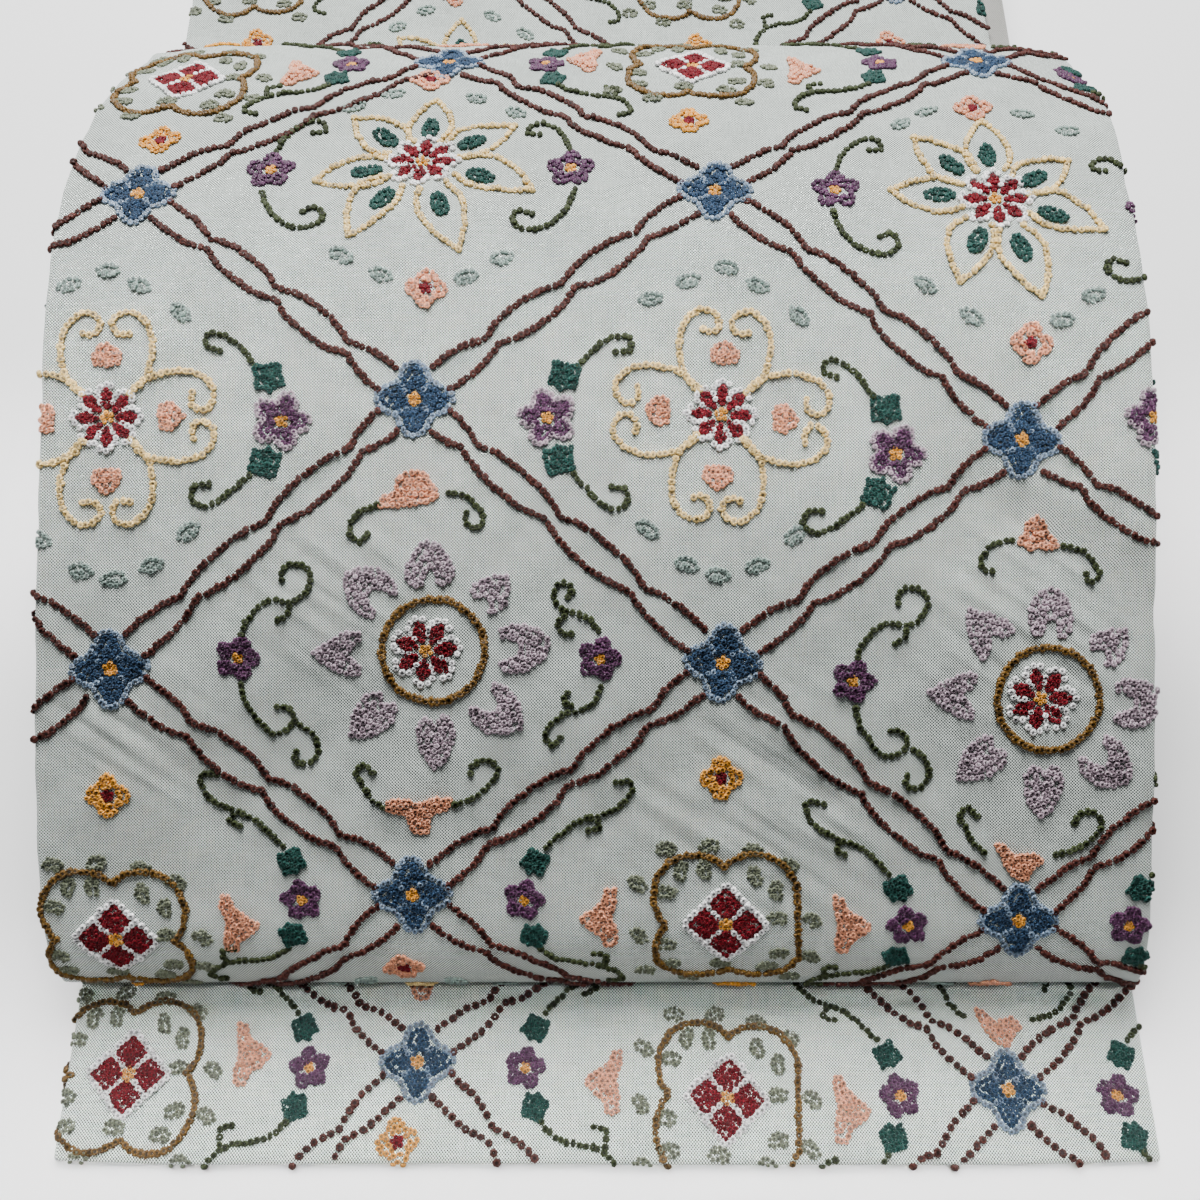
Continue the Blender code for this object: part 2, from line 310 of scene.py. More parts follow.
def silk(name, thread_colour, gap_colour, roughness, sheen):
    """Plain-woven silk: staggered dots of slubbed thread, cloudy, with fine slanting creases."""
    material, tree, shader = new_material(name)
    place = node(tree, "UVMap", {})
    shift = calc(tree, "MULTIPLY", noise(tree, place, WANDER_SCALE, 2.0), THREAD_WANDER)
    threads = []
    for axis in (0, 1):
        along = calc(tree, "ADD", node(tree, "SeparateXYZ", {0: place}, output=axis), shift)
        threads.append(calc(tree, "SINE", calc(tree, "MULTIPLY", along, math.pi / THREAD_PITCH)))
    slubs = []
    for stretch in SLUB_SCALES:
        slubs.append(noise(tree, node(tree, "Mapping", {0: place, 3: stretch}), 1.0, 1.0))
    slub = calc(tree, "MULTIPLY", calc(tree, "ADD", *slubs), SLUB_SHARE)
    height = calc(tree, "ADD", calc(tree, "MULTIPLY", *threads), slub)
    shares = {0: remap(tree, height, *THREAD_SHOWS, 0.0, 1.0), 6: gap_colour, 7: thread_colour}
    woven = node(tree, "Mix", shares, output=2, data_type="RGBA")
    cloud = remap(tree, noise(tree, place, CLOUD_SCALE, 4.0), 0.3, 0.7, *CLOUD_TONES)
    turned = {0: place, 2: (0, 0, SOFT_CREASE_TURN), 3: SOFT_CREASE_SIZE}
    lines = noise(tree, node(tree, "Mapping", turned, vector_type="TEXTURE"), 1.0, 0.5)
    worn = SOFT_CREASES_ELSEWHERE
    for x, t, reach in SOFT_CREASE_SPOTS:
        spot = {0: place, 1: (x, t, 0.0)}
        away = node(tree, "VectorMath", spot, output="Value", operation="DISTANCE")
        near = remap(tree, away, 0.0, reach, 1.0, 0.0, interpolation_type="SMOOTHSTEP")
        worn = calc(tree, "MAXIMUM", worn, near)
    soft_creases = bump(tree, calc(tree, "MULTIPLY", lines, worn), 1.0, SOFT_CREASE_DEPTH)
    feed(tree, shader, {
        "Base Color": scaled(tree, woven, cloud),
        "Normal": bump(tree, height, WEAVE_STRENGTH, WEAVE_HEIGHT, Normal=soft_creases),
        "Roughness": roughness,
        "Specular IOR Level": 0.35,
        "Sheen Weight": sheen,
        "Sheen Roughness": 0.45,
    })
    return material


face_silk = silk("grey_silk", (0.87, 0.95, 0.89, 1), (0.03, 0.04, 0.035, 1), 0.55, 0.15)


def reach_past_seam(stretch):
    """The tip's cloth, eased forward a little, as it was pulled when it was turned out."""
    past = np.interp(stretch.x, *np.array(TIP_REACH).T)
    ease = np.clip(1 - stretch.t / TIP_EASE, 0.0, 1.0) ** 2
    eased = stretch.middle.copy()
    eased[:, :, 1] -= ease[:, None] * past[None, :]
    return eased


tip = station(0.0, TAIL_TOP, TAIL_SHIFT)
tail_fold = station(TAIL_FOLD, TAIL_TOP, TAIL_SHIFT)
tail_turn = half_turn(tail_fold, PRESSED_RADIUS, heading=1, rising=1)
tail_seam = station(TAIL_SEAM, TAIL_TOP + 2 * PRESSED_RADIUS, TAIL_SHIFT)
tip_rows = [tip + np.array((0.0, TIP_RADIUS * share, 0.0)) for share in TIP_SETBACKS]
tail_line = [*tip_rows[:-1], *straight(tip_rows[-1], tail_fold), *tail_turn[:-1]]
tail_line += [*straight(tail_turn[-1], tail_seam), tail_seam]
tail = Stretch(tail_line, give=reach_past_seam, tip_radius=TIP_RADIUS)
tail_piece = cloth_wall("tail_cloth", tail, DOUBLED, DOUBLED_EDGE, face_silk)
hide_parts("tail")
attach(tail_piece, "root")


# ---------- the drum bow
# The sash curls up from its pressed foot, forward over a lip, over the top and down to a rear
# foot. Face silk and lining part a little here, so that the lining shows at the open sides.
DRUM_REAR_SEAM = 0.3420
STACK_TOP = 0.0344
STRIP_TOP = STACK_TOP + GAP + DOUBLED
FRONT_FOOT_RISE = TAIL_TOP + 2 * PRESSED_RADIUS
REAR_FOOT_RISE = STRIP_TOP + 2 * PRESSED_RADIUS
STRIP_SHIFT = -0.0034
POINTS_IN_A_SPAN = 40
DRUM_STATIONS = [
    # reach, rise, shift
    (0.0570, FRONT_FOOT_RISE, 0.0016),
    (0.0464, 0.0094, 0.0006),
    (0.0530, 0.0248, -0.0006),
    (0.0725, 0.0392, -0.0014),
    (0.1245, 0.0668, -0.0011),
    (0.1800, 0.0906, -0.0006),
    (0.2200, 0.1040, -0.0010),
    (0.2560, 0.1070, -0.0012),
    (0.2990, 0.1012, 0.0018),
    (0.3330, 0.0882, 0.0030),
    (0.3530, 0.0702, 0.0026),
    (0.3665, 0.0520, 0.0010),
    (0.3560, REAR_FOOT_RISE, -0.0018),
]
# Soft hollows, where the cloth has given way a little.
HOLLOWS = [
    # across, back, rise, length, width, depth, slant
    (0.122, 0.150, 0.078, 0.045, 0.020, 0.0030, -42),
    (-0.085, 0.098, 0.053, 0.050, 0.022, 0.0022, 35),
    (0.020, 0.088, 0.048, 0.080, 0.018, 0.0018, 8),
    (0.030, 0.195, 0.096, 0.070, 0.024, 0.0016, -12),
    (-0.060, 0.272, 0.106, 0.060, 0.020, 0.0016, 14),
    (-0.160, 0.330, 0.089, 0.018, 0.026, 0.0060, 0),
    (0.163, 0.326, 0.091, 0.018, 0.030, 0.0076, 0),
]
HOLLOW_RISE = 0.024
# Low down the cloth is pressed: creases fade in from this far below the rear foot, over a rise.
PRESSED_BELOW = 0.022
PRESSED_FADE = 0.03
# Creases: soft troughs, or ridges where the depth is negative.
DRUM_CREASES = [
    # x, t, length, width, depth, slant
    (0.122, 0.4085, 0.020, 0.0044, 0.0015, -32),
    (0.128, 0.4170, 0.018, 0.0050, -0.0008, -32),
    (0.149, 0.390, 0.014, 0.0050, 0.0013, -50),
    (0.139, 0.372, 0.014, 0.0045, -0.0008, -50),
    (0.052, 0.352, 0.022, 0.0040, -0.0006, -24),
    (0.062, 0.338, 0.026, 0.0042, 0.0007, -28),
    (-0.050, 0.322, 0.014, 0.0048, 0.0009, 12),
    (-0.048, 0.312, 0.012, 0.0040, -0.0007, 20),
    (-0.112, 0.455, 0.030, 0.0060, 0.0007, 38),
    (0.010, 0.480, 0.036, 0.0060, 0.0006, -14),
    (-0.075, 0.600, 0.030, 0.0060, 0.0009, 20),
    (0.066, 0.622, 0.034, 0.0060, 0.0009, -18),
    (-0.010, 0.641, 0.040, 0.0050, 0.0008, 4),
]
PUCKER_BEND = 0.8
PUCKER_BENDS = (23.0, 17.0)
PUCKER_WAVES = [
    # waves to a metre across and along, phase, depth
    (47.0, 31.0, 0.3, 0.00020),
    (-38.0, 52.0, 1.9, 0.00018),
    (71.0, -26.0, 4.1, 0.00013),
    (19.0, 83.0, 2.6, 0.00010),
    (96.0, 64.0, 5.2, 0.00007),
]


def smooth_line(stations):
    """A smooth line through the stations, level at both feet (a centripetal Catmull-Rom)."""
    inner = np.array([station(*sizes) for sizes in stations])
    before = np.append(2 * inner[0, :2] - inner[1, :2], inner[1, 2])
    after = np.append(2 * inner[-1, :2] - inner[-2, :2], inner[-2, 2])
    ends = np.vstack((before, inner, after))
    points = []
    for corners in zip(ends, ends[1:], ends[2:], ends[3:]):
        gaps = [math.sqrt(np.linalg.norm(b - a)) for a, b in zip(corners, corners[1:])]
        knots = np.concatenate(([0.0], np.cumsum(gaps)))
        for t in np.linspace(knots[1], knots[2], POINTS_IN_A_SPAN, endpoint=False):
            level = list(corners)
            for low, high in ((knots, knots[1:]), (knots, knots[2:]), (knots[1:], knots[2:])):
                level = [
                    a + (b - a) * (t - low[k]) / (high[k] - low[k])
                    for k, (a, b) in enumerate(zip(level, level[1:]))
                ]
            points.append(level[0])
    return np.vstack((points, inner[-1]))


def spaced(curve, spacing, closed=False, rounding=round):
    """Points along a curve, evenly spaced."""
    curve = np.asarray(curve, float)
    runs = runs_along(curve)
    count = max(2, rounding(runs[-1] / spacing) + (0 if closed else 1))
    places = np.linspace(0.0, runs[-1], count, endpoint=not closed)
    return np.stack([np.interp(places, runs, axis) for axis in curve.T], -1)


def bumps(x, y, table):
    """The depth that a table of soft creases gives at x and y."""
    depth = np.zeros(np.broadcast(x, y).shape)
    for across, along, length, width, deep, slant in table:
        turn = math.radians(slant)
        lengthwise = (x - across) * math.cos(turn) + (y - along) * math.sin(turn)
        sideways = (y - along) * math.cos(turn) - (x - across) * math.sin(turn)
        depth = depth + deep * np.exp(-((lengthwise / length) ** 2 + (sideways / width) ** 2))
    return depth


def puckers(x, t):
    """Slight cockling of the cloth between the knots."""
    depth = 0.0
    for across, along, phase, deep in PUCKER_WAVES:
        bent = PUCKER_BEND * np.sin(PUCKER_BENDS[0] * x + PUCKER_BENDS[1] * t + phase)
        depth = depth + deep * np.sin(2 * math.pi * (across * x + along * t) + phase + bent)
    return depth


def settled(stretch):
    """The drum's cloth, sunk at its hollows and creases."""
    points = stretch.middle
    depth = np.zeros(points.shape[:2])
    for across, back, rise, length, width, deep, slant in HOLLOWS:
        hollow = (across, back - PART_LENGTH / 2, length, width, deep, slant)
        here = bumps(points[..., 0], points[..., 1], [hollow])
        depth += here * np.exp(-(((points[..., 2] - rise) / HOLLOW_RISE) ** 2))
    x, t = stretch.x[None, :], stretch.t[:, None]
    free = np.clip((points[..., 2] - REAR_FOOT_RISE + PRESSED_BELOW) / PRESSED_FADE, 0.0, 1.0)
    depth += (bumps(x, t, DRUM_CREASES) + puckers(x, t)) * free
    return points - Stretch.facing(points) * depth[..., None]


drum_foot = station(TAIL_SEAM, FRONT_FOOT_RISE, TAIL_SHIFT)
drum_curve = spaced(smooth_line(DRUM_STATIONS), CLOTH_STEP, rounding=math.ceil)
drum_end = station(DRUM_REAR_SEAM, REAR_FOOT_RISE, STRIP_SHIFT)
drum_line = [*straight(drum_foot, drum_curve[0]), *drum_curve[:-1]]
drum_line += [*straight(drum_curve[-1], drum_end), drum_end]
drum = Stretch(drum_line, start=tail.t[-1], give=settled)
face_piece = cloth_wall("drum_face_cloth", drum, FACE, edge_profile((0.0, FACE, 0.0)), face_silk)
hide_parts("drum_face")
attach(face_piece, "root")

LINING_SETBACK = 0.0006
LINING_STEP = 0.005
lining_silk = silk("grey_lining_silk", (0.50, 0.49, 0.46, 1), (0.20, 0.20, 0.18, 1), 0.42, 0.15)
lining = Stretch(drum_line, start=tail.t[-1], step=LINING_STEP, give=settled)
lining.middle = lining.middle + lining.inward * (FACE + GAP)
lining.points = lining.middle
lining_edge = edge_profile((0.0, LINING, LINING_SETBACK))
lining_piece = cloth_wall("drum_lining_cloth", lining, LINING, lining_edge, lining_silk)
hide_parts("drum_lining")
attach(lining_piece, "root")


# ---------- the back strip
# Behind the drum the sash turns under the rear foot and runs on over the folded layers, right
# side up, and round their rear end.
STRIP_FOLD = 0.2825
LAYER_PITCH = 0.0043
STRIP_REAR_SHIFT = -0.0072
STACK_REAR = 0.5720
STACK_CLEARANCE = 0.0009
STRIP_CREASES = [
    (-0.060, 0.880, 0.050, 0.0060, 0.0005, 12),
    (0.070, 0.905, 0.060, 0.0060, 0.0006, -16),
    (-0.020, 0.960, 0.070, 0.0070, 0.0006, 5),
    (0.100, 0.985, 0.040, 0.0060, 0.0005, 30),
    (-0.105, 0.940, 0.040, 0.0060, 0.0005, -28),
]
# Where they fade in and out, by t, and how far the whole strip gives way.
STRIP_ON_TOP = (0.795, 0.815, 1.005, 1.020)
STRIP_SINKS = 0.0002
# How far the strip's right side wanders from a straight line: t and a shift.
STRIP_SWAY = [
    (0.800, 0.0),
    (0.862, 0.0003),
    (0.874, -0.0004),
    (0.884, -0.0022),
    (0.905, -0.0008),
    (0.960, 0.0006),
    (1.010, -0.0004),
]


def strip_form(stretch):
    """The strip's cloth: slight creases, and a right side that wanders a little."""
    x, t = stretch.x[None, :], stretch.t[:, None]
    on_top = np.interp(t, STRIP_ON_TOP, (0.0, 1.0, 1.0, 0.0))
    points = stretch.middle.copy()
    points[..., 2] -= on_top * (bumps(x, t, STRIP_CREASES) + puckers(x, t) + STRIP_SINKS)
    to_the_right = np.clip(x / OBI_WIDTH + 0.5, 0.0, 1.0)
    points[..., 0] += to_the_right * np.interp(t, *np.array(STRIP_SWAY).T)
    return points


strip_fold = station(STRIP_FOLD, REAR_FOOT_RISE, STRIP_SHIFT)
strip_turn = half_turn(strip_fold, PRESSED_RADIUS, heading=-1, rising=-1)
REAR_RADIUS = (STRIP_TOP - STACK_TOP + LAYER_PITCH) / 2
strip_rear = station(PART_LENGTH - REAR_RADIUS, STRIP_TOP, STRIP_REAR_SHIFT)
rear_turn = half_turn(strip_rear, REAR_RADIUS, heading=1, rising=-1)
strip_end = station(STACK_REAR + STACK_CLEARANCE, rear_turn[-1][2], STRIP_REAR_SHIFT)
strip_line = [*straight(drum_end, strip_fold), *strip_turn[:-1]]
strip_line += [*straight(strip_turn[-1], strip_rear), *rear_turn, strip_end]
strip = Stretch(strip_line, start=drum.t[-1], give=strip_form)
strip_piece = cloth_wall("back_strip_cloth", strip, DOUBLED, DOUBLED_EDGE, face_silk)
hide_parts("back_strip")
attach(strip_piece, "root")


# ---------- the folded layers
# The rest of the sash, folded to and fro eight times into a flat pile. Its lining faces out at
# the front folds and its right side at the rear ones, and each layer lies a little off.
STACK_FRONT = 0.1650
LAYER_SHIFTS = (-0.0010, 0.0034, 0.0072, 0.0012, -0.0046, 0.0022, 0.0058, 0.0028)
LAYER_CLEARANCE = 0.0001
LAYER = LAYER_PITCH - 2 * LAYER_CLEARANCE
LAYER_STEP = 0.012
LAYER_SWAY = 0.0006
LAYER_SWAY_WAVES = 1.3
LAYER_SWAY_SLIP = 0.37
LAYER_FACE = 0.0020
LAYER_GROOVE = 0.0003
LAYER_SETBACK = 0.0004
REST_STEP = 0.022


def layer_run(number, forward):
    """One layer's right side, from one fold to the next."""
    rise = (number + (0 if forward else 1)) * LAYER_PITCH
    rise += LAYER_CLEARANCE if forward else -LAYER_CLEARANCE
    reaches = (STACK_REAR - LAYER_PITCH, STACK_FRONT + LAYER_PITCH)
    ends = [station(reach, rise, LAYER_SHIFTS[number]) for reach in reaches]
    start, end = ends if forward else ends[::-1]
    run = np.array(straight(start, end, LAYER_STEP))
    share = np.linspace(0.0, 1.0, len(run))
    waves = LAYER_SWAY_WAVES * share + LAYER_SWAY_SLIP * number
    run[:, 0] += LAYER_SWAY * np.sin(2 * math.pi * waves)
    return [*run, end]


rest_line = []
for number in reversed(range(len(LAYER_SHIFTS))):
    forward = number % 2 == 1
    rest_line += layer_run(number, forward)
    if number > 0:
        radius = LAYER_CLEARANCE if forward else LAYER_PITCH - LAYER_CLEARANCE
        turn = half_turn(rest_line.pop(), radius, heading=-1 if forward else 1, rising=-1)
        drift = np.linspace(0.0, LAYER_SHIFTS[number - 1] - LAYER_SHIFTS[number], len(turn))
        rest_line += [point + (step, 0.0, 0.0) for point, step in zip(turn, drift)][:-1]
under = LAYER_FACE + LAYER_GROOVE
LAYER_EDGE = edge_profile((0.0, LAYER_FACE, 0.0), (under, LAYER - under, LAYER_SETBACK))
rest = Stretch(rest_line, start=strip.t[-1], step=REST_STEP)
rest_piece = cloth_wall("folded_layers_cloth", rest, LAYER, LAYER_EDGE, lining_silk)
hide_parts("folded_layers")
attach(rest_piece, "root")


# ---------- the lattice of double wavy lines
# Two waving lines of brown ring knots run side by side from crossing to crossing. Each knot is
# a loop of twisted silk floss, drawn up round the needle and sewn down through its middle.
MM = 0.001
REPEAT = 0.278
COLUMN_PITCH = 0.169
# The crossings on the drum: x and t of the left one and of the right one, by row.
CROSSINGS = {
    -1: (-0.1330, 0.2370, 0.0346, 0.2385),
    0: (-0.0510, 0.3058, 0.1180, 0.2983),
    1: (-0.1340, 0.3692, 0.0350, 0.3708),
    2: (-0.0510, 0.4442, 0.1180, 0.4329),
    3: (-0.1330, 0.5088, 0.0346, 0.5100),
    4: (-0.0510, 0.5758, 0.1180, 0.5767),
}
ROWS_IN_A_REPEAT = 4
ROWS = range(-5, 14)
COLUMNS = (-1, 0, 1, 2)
# Where the pattern lies on each stretch, against the drum: x and t slips and a skew. Below a
# certain t it is scaled along the sash. The tail's knots are painted darker, as painted shade
# under the strong lamp over the tail.
EMBROIDERED = [
    # stretch, first t, last t, x slip, t slip, skew, scaled below, scale, painted shade
    (tail, -0.0004, 0.0520, -0.0035, -0.0024, 0.0, 0.0, 1.0, 0.66),
    (drum, 0.2625, 0.6560, 0.0, 0.0, 0.0, 0.2860, 0.72, 1.0),
    (strip, 0.8120, 1.0360, 0.0035, 0.2169, -0.0404, 2.0, 1.2, 1.0),
]
OVER_THE_EDGE = 0.0009
KNOT_SIDES = 6
KNOT_RINGS = [
    # radius share, height share, way to the middle
    (0.86, -0.08, 0.0),
    (1.00, 0.48, 0.35),
    (0.64, 1.00, 0.65),
]
KNOT_HEIGHT = 0.46
# How knots vary, as a spread and the least and most: size, height, how oval, brightness.
KNOT_SIZES = (0.07, 0.8, 1.2)
KNOT_HEIGHTS = (0.10, 0.75, 1.3)
KNOT_OVALS = (0.09, -0.2, 0.2)
KNOT_TONES = (0.14, 0.65, 1.3)
KNOT_SLIP = 0.00012
KNOT_TILT = 0.16
KNOT_ROUGHNESS = 0.045
LINE_KNOT = 2.35
LINE_SPACING = 1.85
OPEN_KNOT = 2.55
OPEN_SPACING = 2.5
TAIL_ENDS = 0.06
LINE_REACH = 0.0098
LINE_GAP = 0.0031
LINE_GAP_VARIES = 0.0002
LINE_POINTS = 80
SCALLOP = 0.0026
SCALLOP_MIDDLE = 0.6
SCALLOPS = 4.0
SCALLOPS_VARY = 0.15
SCALLOPS_SLIP = 0.07
SCALLOPS_LEAN = 0.07
STRANDS = 6
STRAND_LEAN = 9.0
STRAND_PAINTED_SHADING = 0.16
STRAND_DEPTH = 0.00012
STRAND_STRENGTH = 0.7
# Ways from a knot's foot to its middle: where the painted shade at its foot ends, and where its hole
# begins, which is painted darker as shade.
FOOT_PAINTED_SHADE_TOP = 0.3
HOLE_EDGE = 0.67
# How much darker the hole and the foot are painted as shade, and the least brightness a knot keeps.
HOLE_PAINTED_SHADE = 2.2
KNOT_PAINTED_SHADE = 1.4
DARKEST = 0.12


def from_table(table, row, column):
    """x and t of a place in a table of left and right ones, for any row and column."""
    known = row if row in table else row % ROWS_IN_A_REPEAT
    x, t = table[known][:2] if column <= 0 else table[known][2:]
    beyond = REPEAT * ((row - known) // ROWS_IN_A_REPEAT)
    return np.array((x + COLUMN_PITCH * (column - (column > 0)), t + beyond))


def knots_at(points, size):
    """Knots of one size at the points: x, t and diameter."""
    points = np.asarray(points, float)
    return np.column_stack((points, np.full(len(points), size)))


def thread(name, colour, gloss=0.0):
    """Twisted silk floss: strands that wind into the knot, with painted light and shade on them, and
    painted shade at its foot and in its middle.
    """
    material, tree, shader = new_material(name)
    place = node(tree, "UVMap", {})
    share, way = [node(tree, "SeparateXYZ", {0: place}, output=axis) for axis in (0, 1)]
    turned = calc(tree, "MULTIPLY", share, 2 * math.pi * STRANDS)
    strand = calc(tree, "SINE", calc(tree, "ADD", turned, calc(tree, "MULTIPLY", way, STRAND_LEAN)))
    # Painted shade: darker towards the knot's foot and down into its hole, where shade falls.
    foot = calc(tree, "MAXIMUM", calc(tree, "SUBTRACT", FOOT_PAINTED_SHADE_TOP, way), 0.0)
    hole = calc(tree, "MAXIMUM", calc(tree, "SUBTRACT", way, HOLE_EDGE), 0.0)
    painted_shade = calc(tree, "ADD", foot, calc(tree, "MULTIPLY", hole, HOLE_PAINTED_SHADE))
    # The tone attribute holds each knot's own brightness at random, times the painted shade of its
    # stretch.
    tone = node(tree, "Attribute", {}, output="Fac", attribute_name="tone")
    # The strands are painted lighter and darker in turn, as light and shade on the twisted floss;
    # the same stripes also make its bumps.
    light = calc(tree, "ADD", calc(tree, "MULTIPLY", strand, STRAND_PAINTED_SHADING), tone)
    light = calc(tree, "SUBTRACT", light, calc(tree, "MULTIPLY", painted_shade, KNOT_PAINTED_SHADE))
    feed(tree, shader, {
        "Base Color": scaled(tree, colour, calc(tree, "MAXIMUM", light, DARKEST)),
        "Normal": bump(tree, strand, STRAND_STRENGTH, STRAND_DEPTH),
        "Roughness": 0.50 - 0.20 * gloss,
        "Specular IOR Level": 0.20 + 0.62 * gloss,
        "Sheen Weight": 0.02 + 0.06 * gloss,
        "Sheen Roughness": 0.4,
    })
    return material


def knot_pattern():
    """One knot's corners (radius share, height share, angle), its faces and their UVs."""
    sides = range(KNOT_SIDES)
    corners = [(*ring[:2], 2 * math.pi * side / KNOT_SIDES) for ring in KNOT_RINGS for side in sides]
    middle = len(corners)
    corners.append((0.0, 0.0, 0.0))
    ways = [ring[2] for ring in KNOT_RINGS]
    top = middle - KNOT_SIDES
    quads, quad_uvs, points, point_uvs = [], [], [], []
    for side in sides:
        after = (side + 1) % KNOT_SIDES
        u, next_u = side / KNOT_SIDES, (side + 1) / KNOT_SIDES
        for ring, (way, next_way) in enumerate(zip(ways, ways[1:])):
            low, high = ring * KNOT_SIDES, (ring + 1) * KNOT_SIDES
            quads.append((low + side, low + after, high + after, high + side))
            quad_uvs.append(((u, way), (next_u, way), (next_u, next_way), (u, next_way)))
        points.append((top + side, top + after, middle))
        point_uvs.append(((u, ways[-1]), (next_u, ways[-1]), ((u + next_u) / 2, 1.0)))
    faces = [np.array(block) for block in (quads, points)]
    return np.array(corners), faces, [np.array(u) for u in (quad_uvs, point_uvs)]


knot_corners, knot_faces, knot_uvs = knot_pattern()


def sew(name, work, seed):
    """Sews ring knots through the cloth, as one joined mesh. work is (thread, knots) pairs."""
    chance = np.random.default_rng(seed)
    threads = list(dict.fromkeys(yarn for yarn, _ in work))
    sewn = np.vstack([
        np.column_stack((knots, np.full(len(knots), threads.index(yarn)))) for yarn, knots in work
    ])
    parts = []
    for stretch, first, last, slip_x, slip_t, skew, below, scale, painted_shade in EMBROIDERED:
        x = sewn[:, 0] + slip_x
        t = sewn[:, 1] + slip_t + skew * x
        t = np.where(t < below, below + (t - below) * scale, t)
        here = (t > first) & (t < last) & (np.abs(x) < OBI_WIDTH / 2 + OVER_THE_EDGE)
        if here.any():
            painted_shades = np.full(here.sum(), painted_shade)
            parts.append((*stretch.place(x[here], t[here]), sewn[here], painted_shades))
    points, normals, alongs, kept, painted_shades = map(np.concatenate, zip(*parts))
    count = len(kept)

    def varied(middle, spread, least, most):
        return chance.normal(middle, spread, count).clip(least, most)

    points += chance.normal(0.0, KNOT_SLIP, (count, 3))
    tilted = unit(normals + chance.normal(0.0, KNOT_TILT, (count, 3)))
    first_way = unit(np.cross(np.cross(tilted, alongs), tilted))
    second_way = np.cross(tilted, first_way)
    radius = kept[:, 2] / 2 * varied(1.0, *KNOT_SIZES)
    height = kept[:, 2] * KNOT_HEIGHT * varied(1.0, *KNOT_HEIGHTS)
    turn = chance.uniform(0.0, 2 * math.pi, count)
    longer = varied(0.0, *KNOT_OVALS)[:, None]
    share, lift, angle = knot_corners.T
    angles = angle + turn[:, None]
    rough = chance.normal(1.0, KNOT_ROUGHNESS, (count, len(knot_corners)))
    out = radius[:, None] * share * rough
    ways = (
        (out * np.cos(angles) * (1 + longer))[..., None] * first_way[:, None]
        + (out * np.sin(angles) * (1 - longer))[..., None] * second_way[:, None]
        + (height[:, None] * lift)[..., None] * tilted[:, None]
    )
    corners = (points[:, None] + ways).reshape(-1, 3)
    offsets = (np.arange(count) * len(knot_corners))[:, None, None]
    faces = [(offsets + block).reshape(-1, block.shape[1]) for block in knot_faces]
    uvs = [np.tile(block, (count, 1, 1, 1)) for block in knot_uvs]
    yarns = np.concatenate([np.repeat(kept[:, 3], len(block)) for block in knot_faces])
    piece = build_mesh(name, corners, faces, uvs, threads, yarns)
    # Each knot's tone: its own brightness at random, times the painted shade of its stretch, which
    # darkens the tail's knots.
    tone = piece.data.attributes.new("tone", "FLOAT", "POINT")
    tones_and_painted_shade = varied(1.0, *KNOT_TONES) * painted_shades
    tone.data.foreach_set("value", np.repeat(tones_and_painted_shade, len(knot_corners)).astype(np.float32))
    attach(piece, "root")


brown = thread("brown_thread", (0.063, 0.0165, 0.0120))
chance = np.random.default_rng(3)
lattice = []
for row in ROWS:
    for column in COLUMNS:
        start = from_table(CROSSINGS, row, column)
        for step in ((-1, 0) if row % 2 else (0, 1)):
            if column + step not in COLUMNS:
                continue
            end = from_table(CROSSINGS, row + 1, column + step)
            length = np.linalg.norm(end - start)
            along = (end - start) / length
            beside = np.array((-along[1], along[0]))
            away = LINE_REACH / length
            share = np.linspace(away, 1 - away, LINE_POINTS)[:, None]
            on_tail = start[1] < TAIL_ENDS
            spacing = (OPEN_SPACING if on_tail else LINE_SPACING) * MM
            size = (OPEN_KNOT if on_tail else LINE_KNOT) * MM
            waves = SCALLOPS + chance.normal(0.0, SCALLOPS_VARY)
            for side in (-1, 1):
                at = waves * share + chance.normal(0.0, SCALLOPS_SLIP)
                leaning = at + SCALLOPS_LEAN * np.sin(2 * math.pi * at)
                wave = np.abs(np.sin(math.pi * leaning)) - SCALLOP_MIDDLE
                gap = LINE_GAP + chance.normal(0.0, LINE_GAP_VARIES)
                curve = start + share * (end - start) + side * beside * (gap + SCALLOP * wave)
                lattice.append((brown, knots_at(spaced(curve, spacing), size)))
sew("lattice_knots", lattice, seed=11)


# ---------- the flowers at the crossings
# A blue flower of four petals covers each crossing: dark blue floss fills it, light blue goes
# round it and in between its petals, and a few yellow knots make its middle.
CURVE_STEPS = 8
OUTLINE_POINTS = 72
OVAL_POINTS = 24
OUTLINE_STEP = 0.5
FILL_ROW_PITCH = 0.87
FILL_TO_RIM = 0.52


def smooth(points):
    """A smooth curve through listed points."""
    points = np.array(points, float)
    around = np.vstack((2 * points[0] - points[1], points, 2 * points[-1] - points[-2]))
    curve = []
    for a, b, c, d in zip(around, around[1:], around[2:], around[3:]):
        for share in np.arange(CURVE_STEPS) / CURVE_STEPS:
            bend = (2 * a - 5 * b + 4 * c - d) * share**2 + (3 * b - a - 3 * c + d) * share**3
            curve.append(b + 0.5 * ((c - a) * share + bend))
    curve.append(points[-1])
    return np.array(curve)


def row_of(curve, size, spacing, closed=False):
    """A row of knots along a curve."""
    return knots_at(spaced(curve, spacing, closed), size)


def inside(points, outline, inset):
    """Which points lie in an outline, at least inset from it."""
    following = np.roll(outline, -1, axis=0)
    edges = following - outline
    x, y = points[:, :1], points[:, 1:2]
    crossed = (outline[:, 1] > y) != (following[:, 1] > y)
    slope = edges[:, 0] / np.where(edges[:, 1] == 0, 1e-9, edges[:, 1])
    to_the_left = x < outline[:, 0] + (y - outline[:, 1]) * slope
    within = (crossed & to_the_left).sum(1) % 2 == 1
    from_corner = points[:, None] - outline
    share = (from_corner * edges).sum(-1) / np.maximum((edges**2).sum(-1), 1e-9)
    nearest = from_corner - np.clip(share, 0.0, 1.0)[..., None] * edges
    return within & (np.linalg.norm(nearest, axis=-1).min(1) > inset)


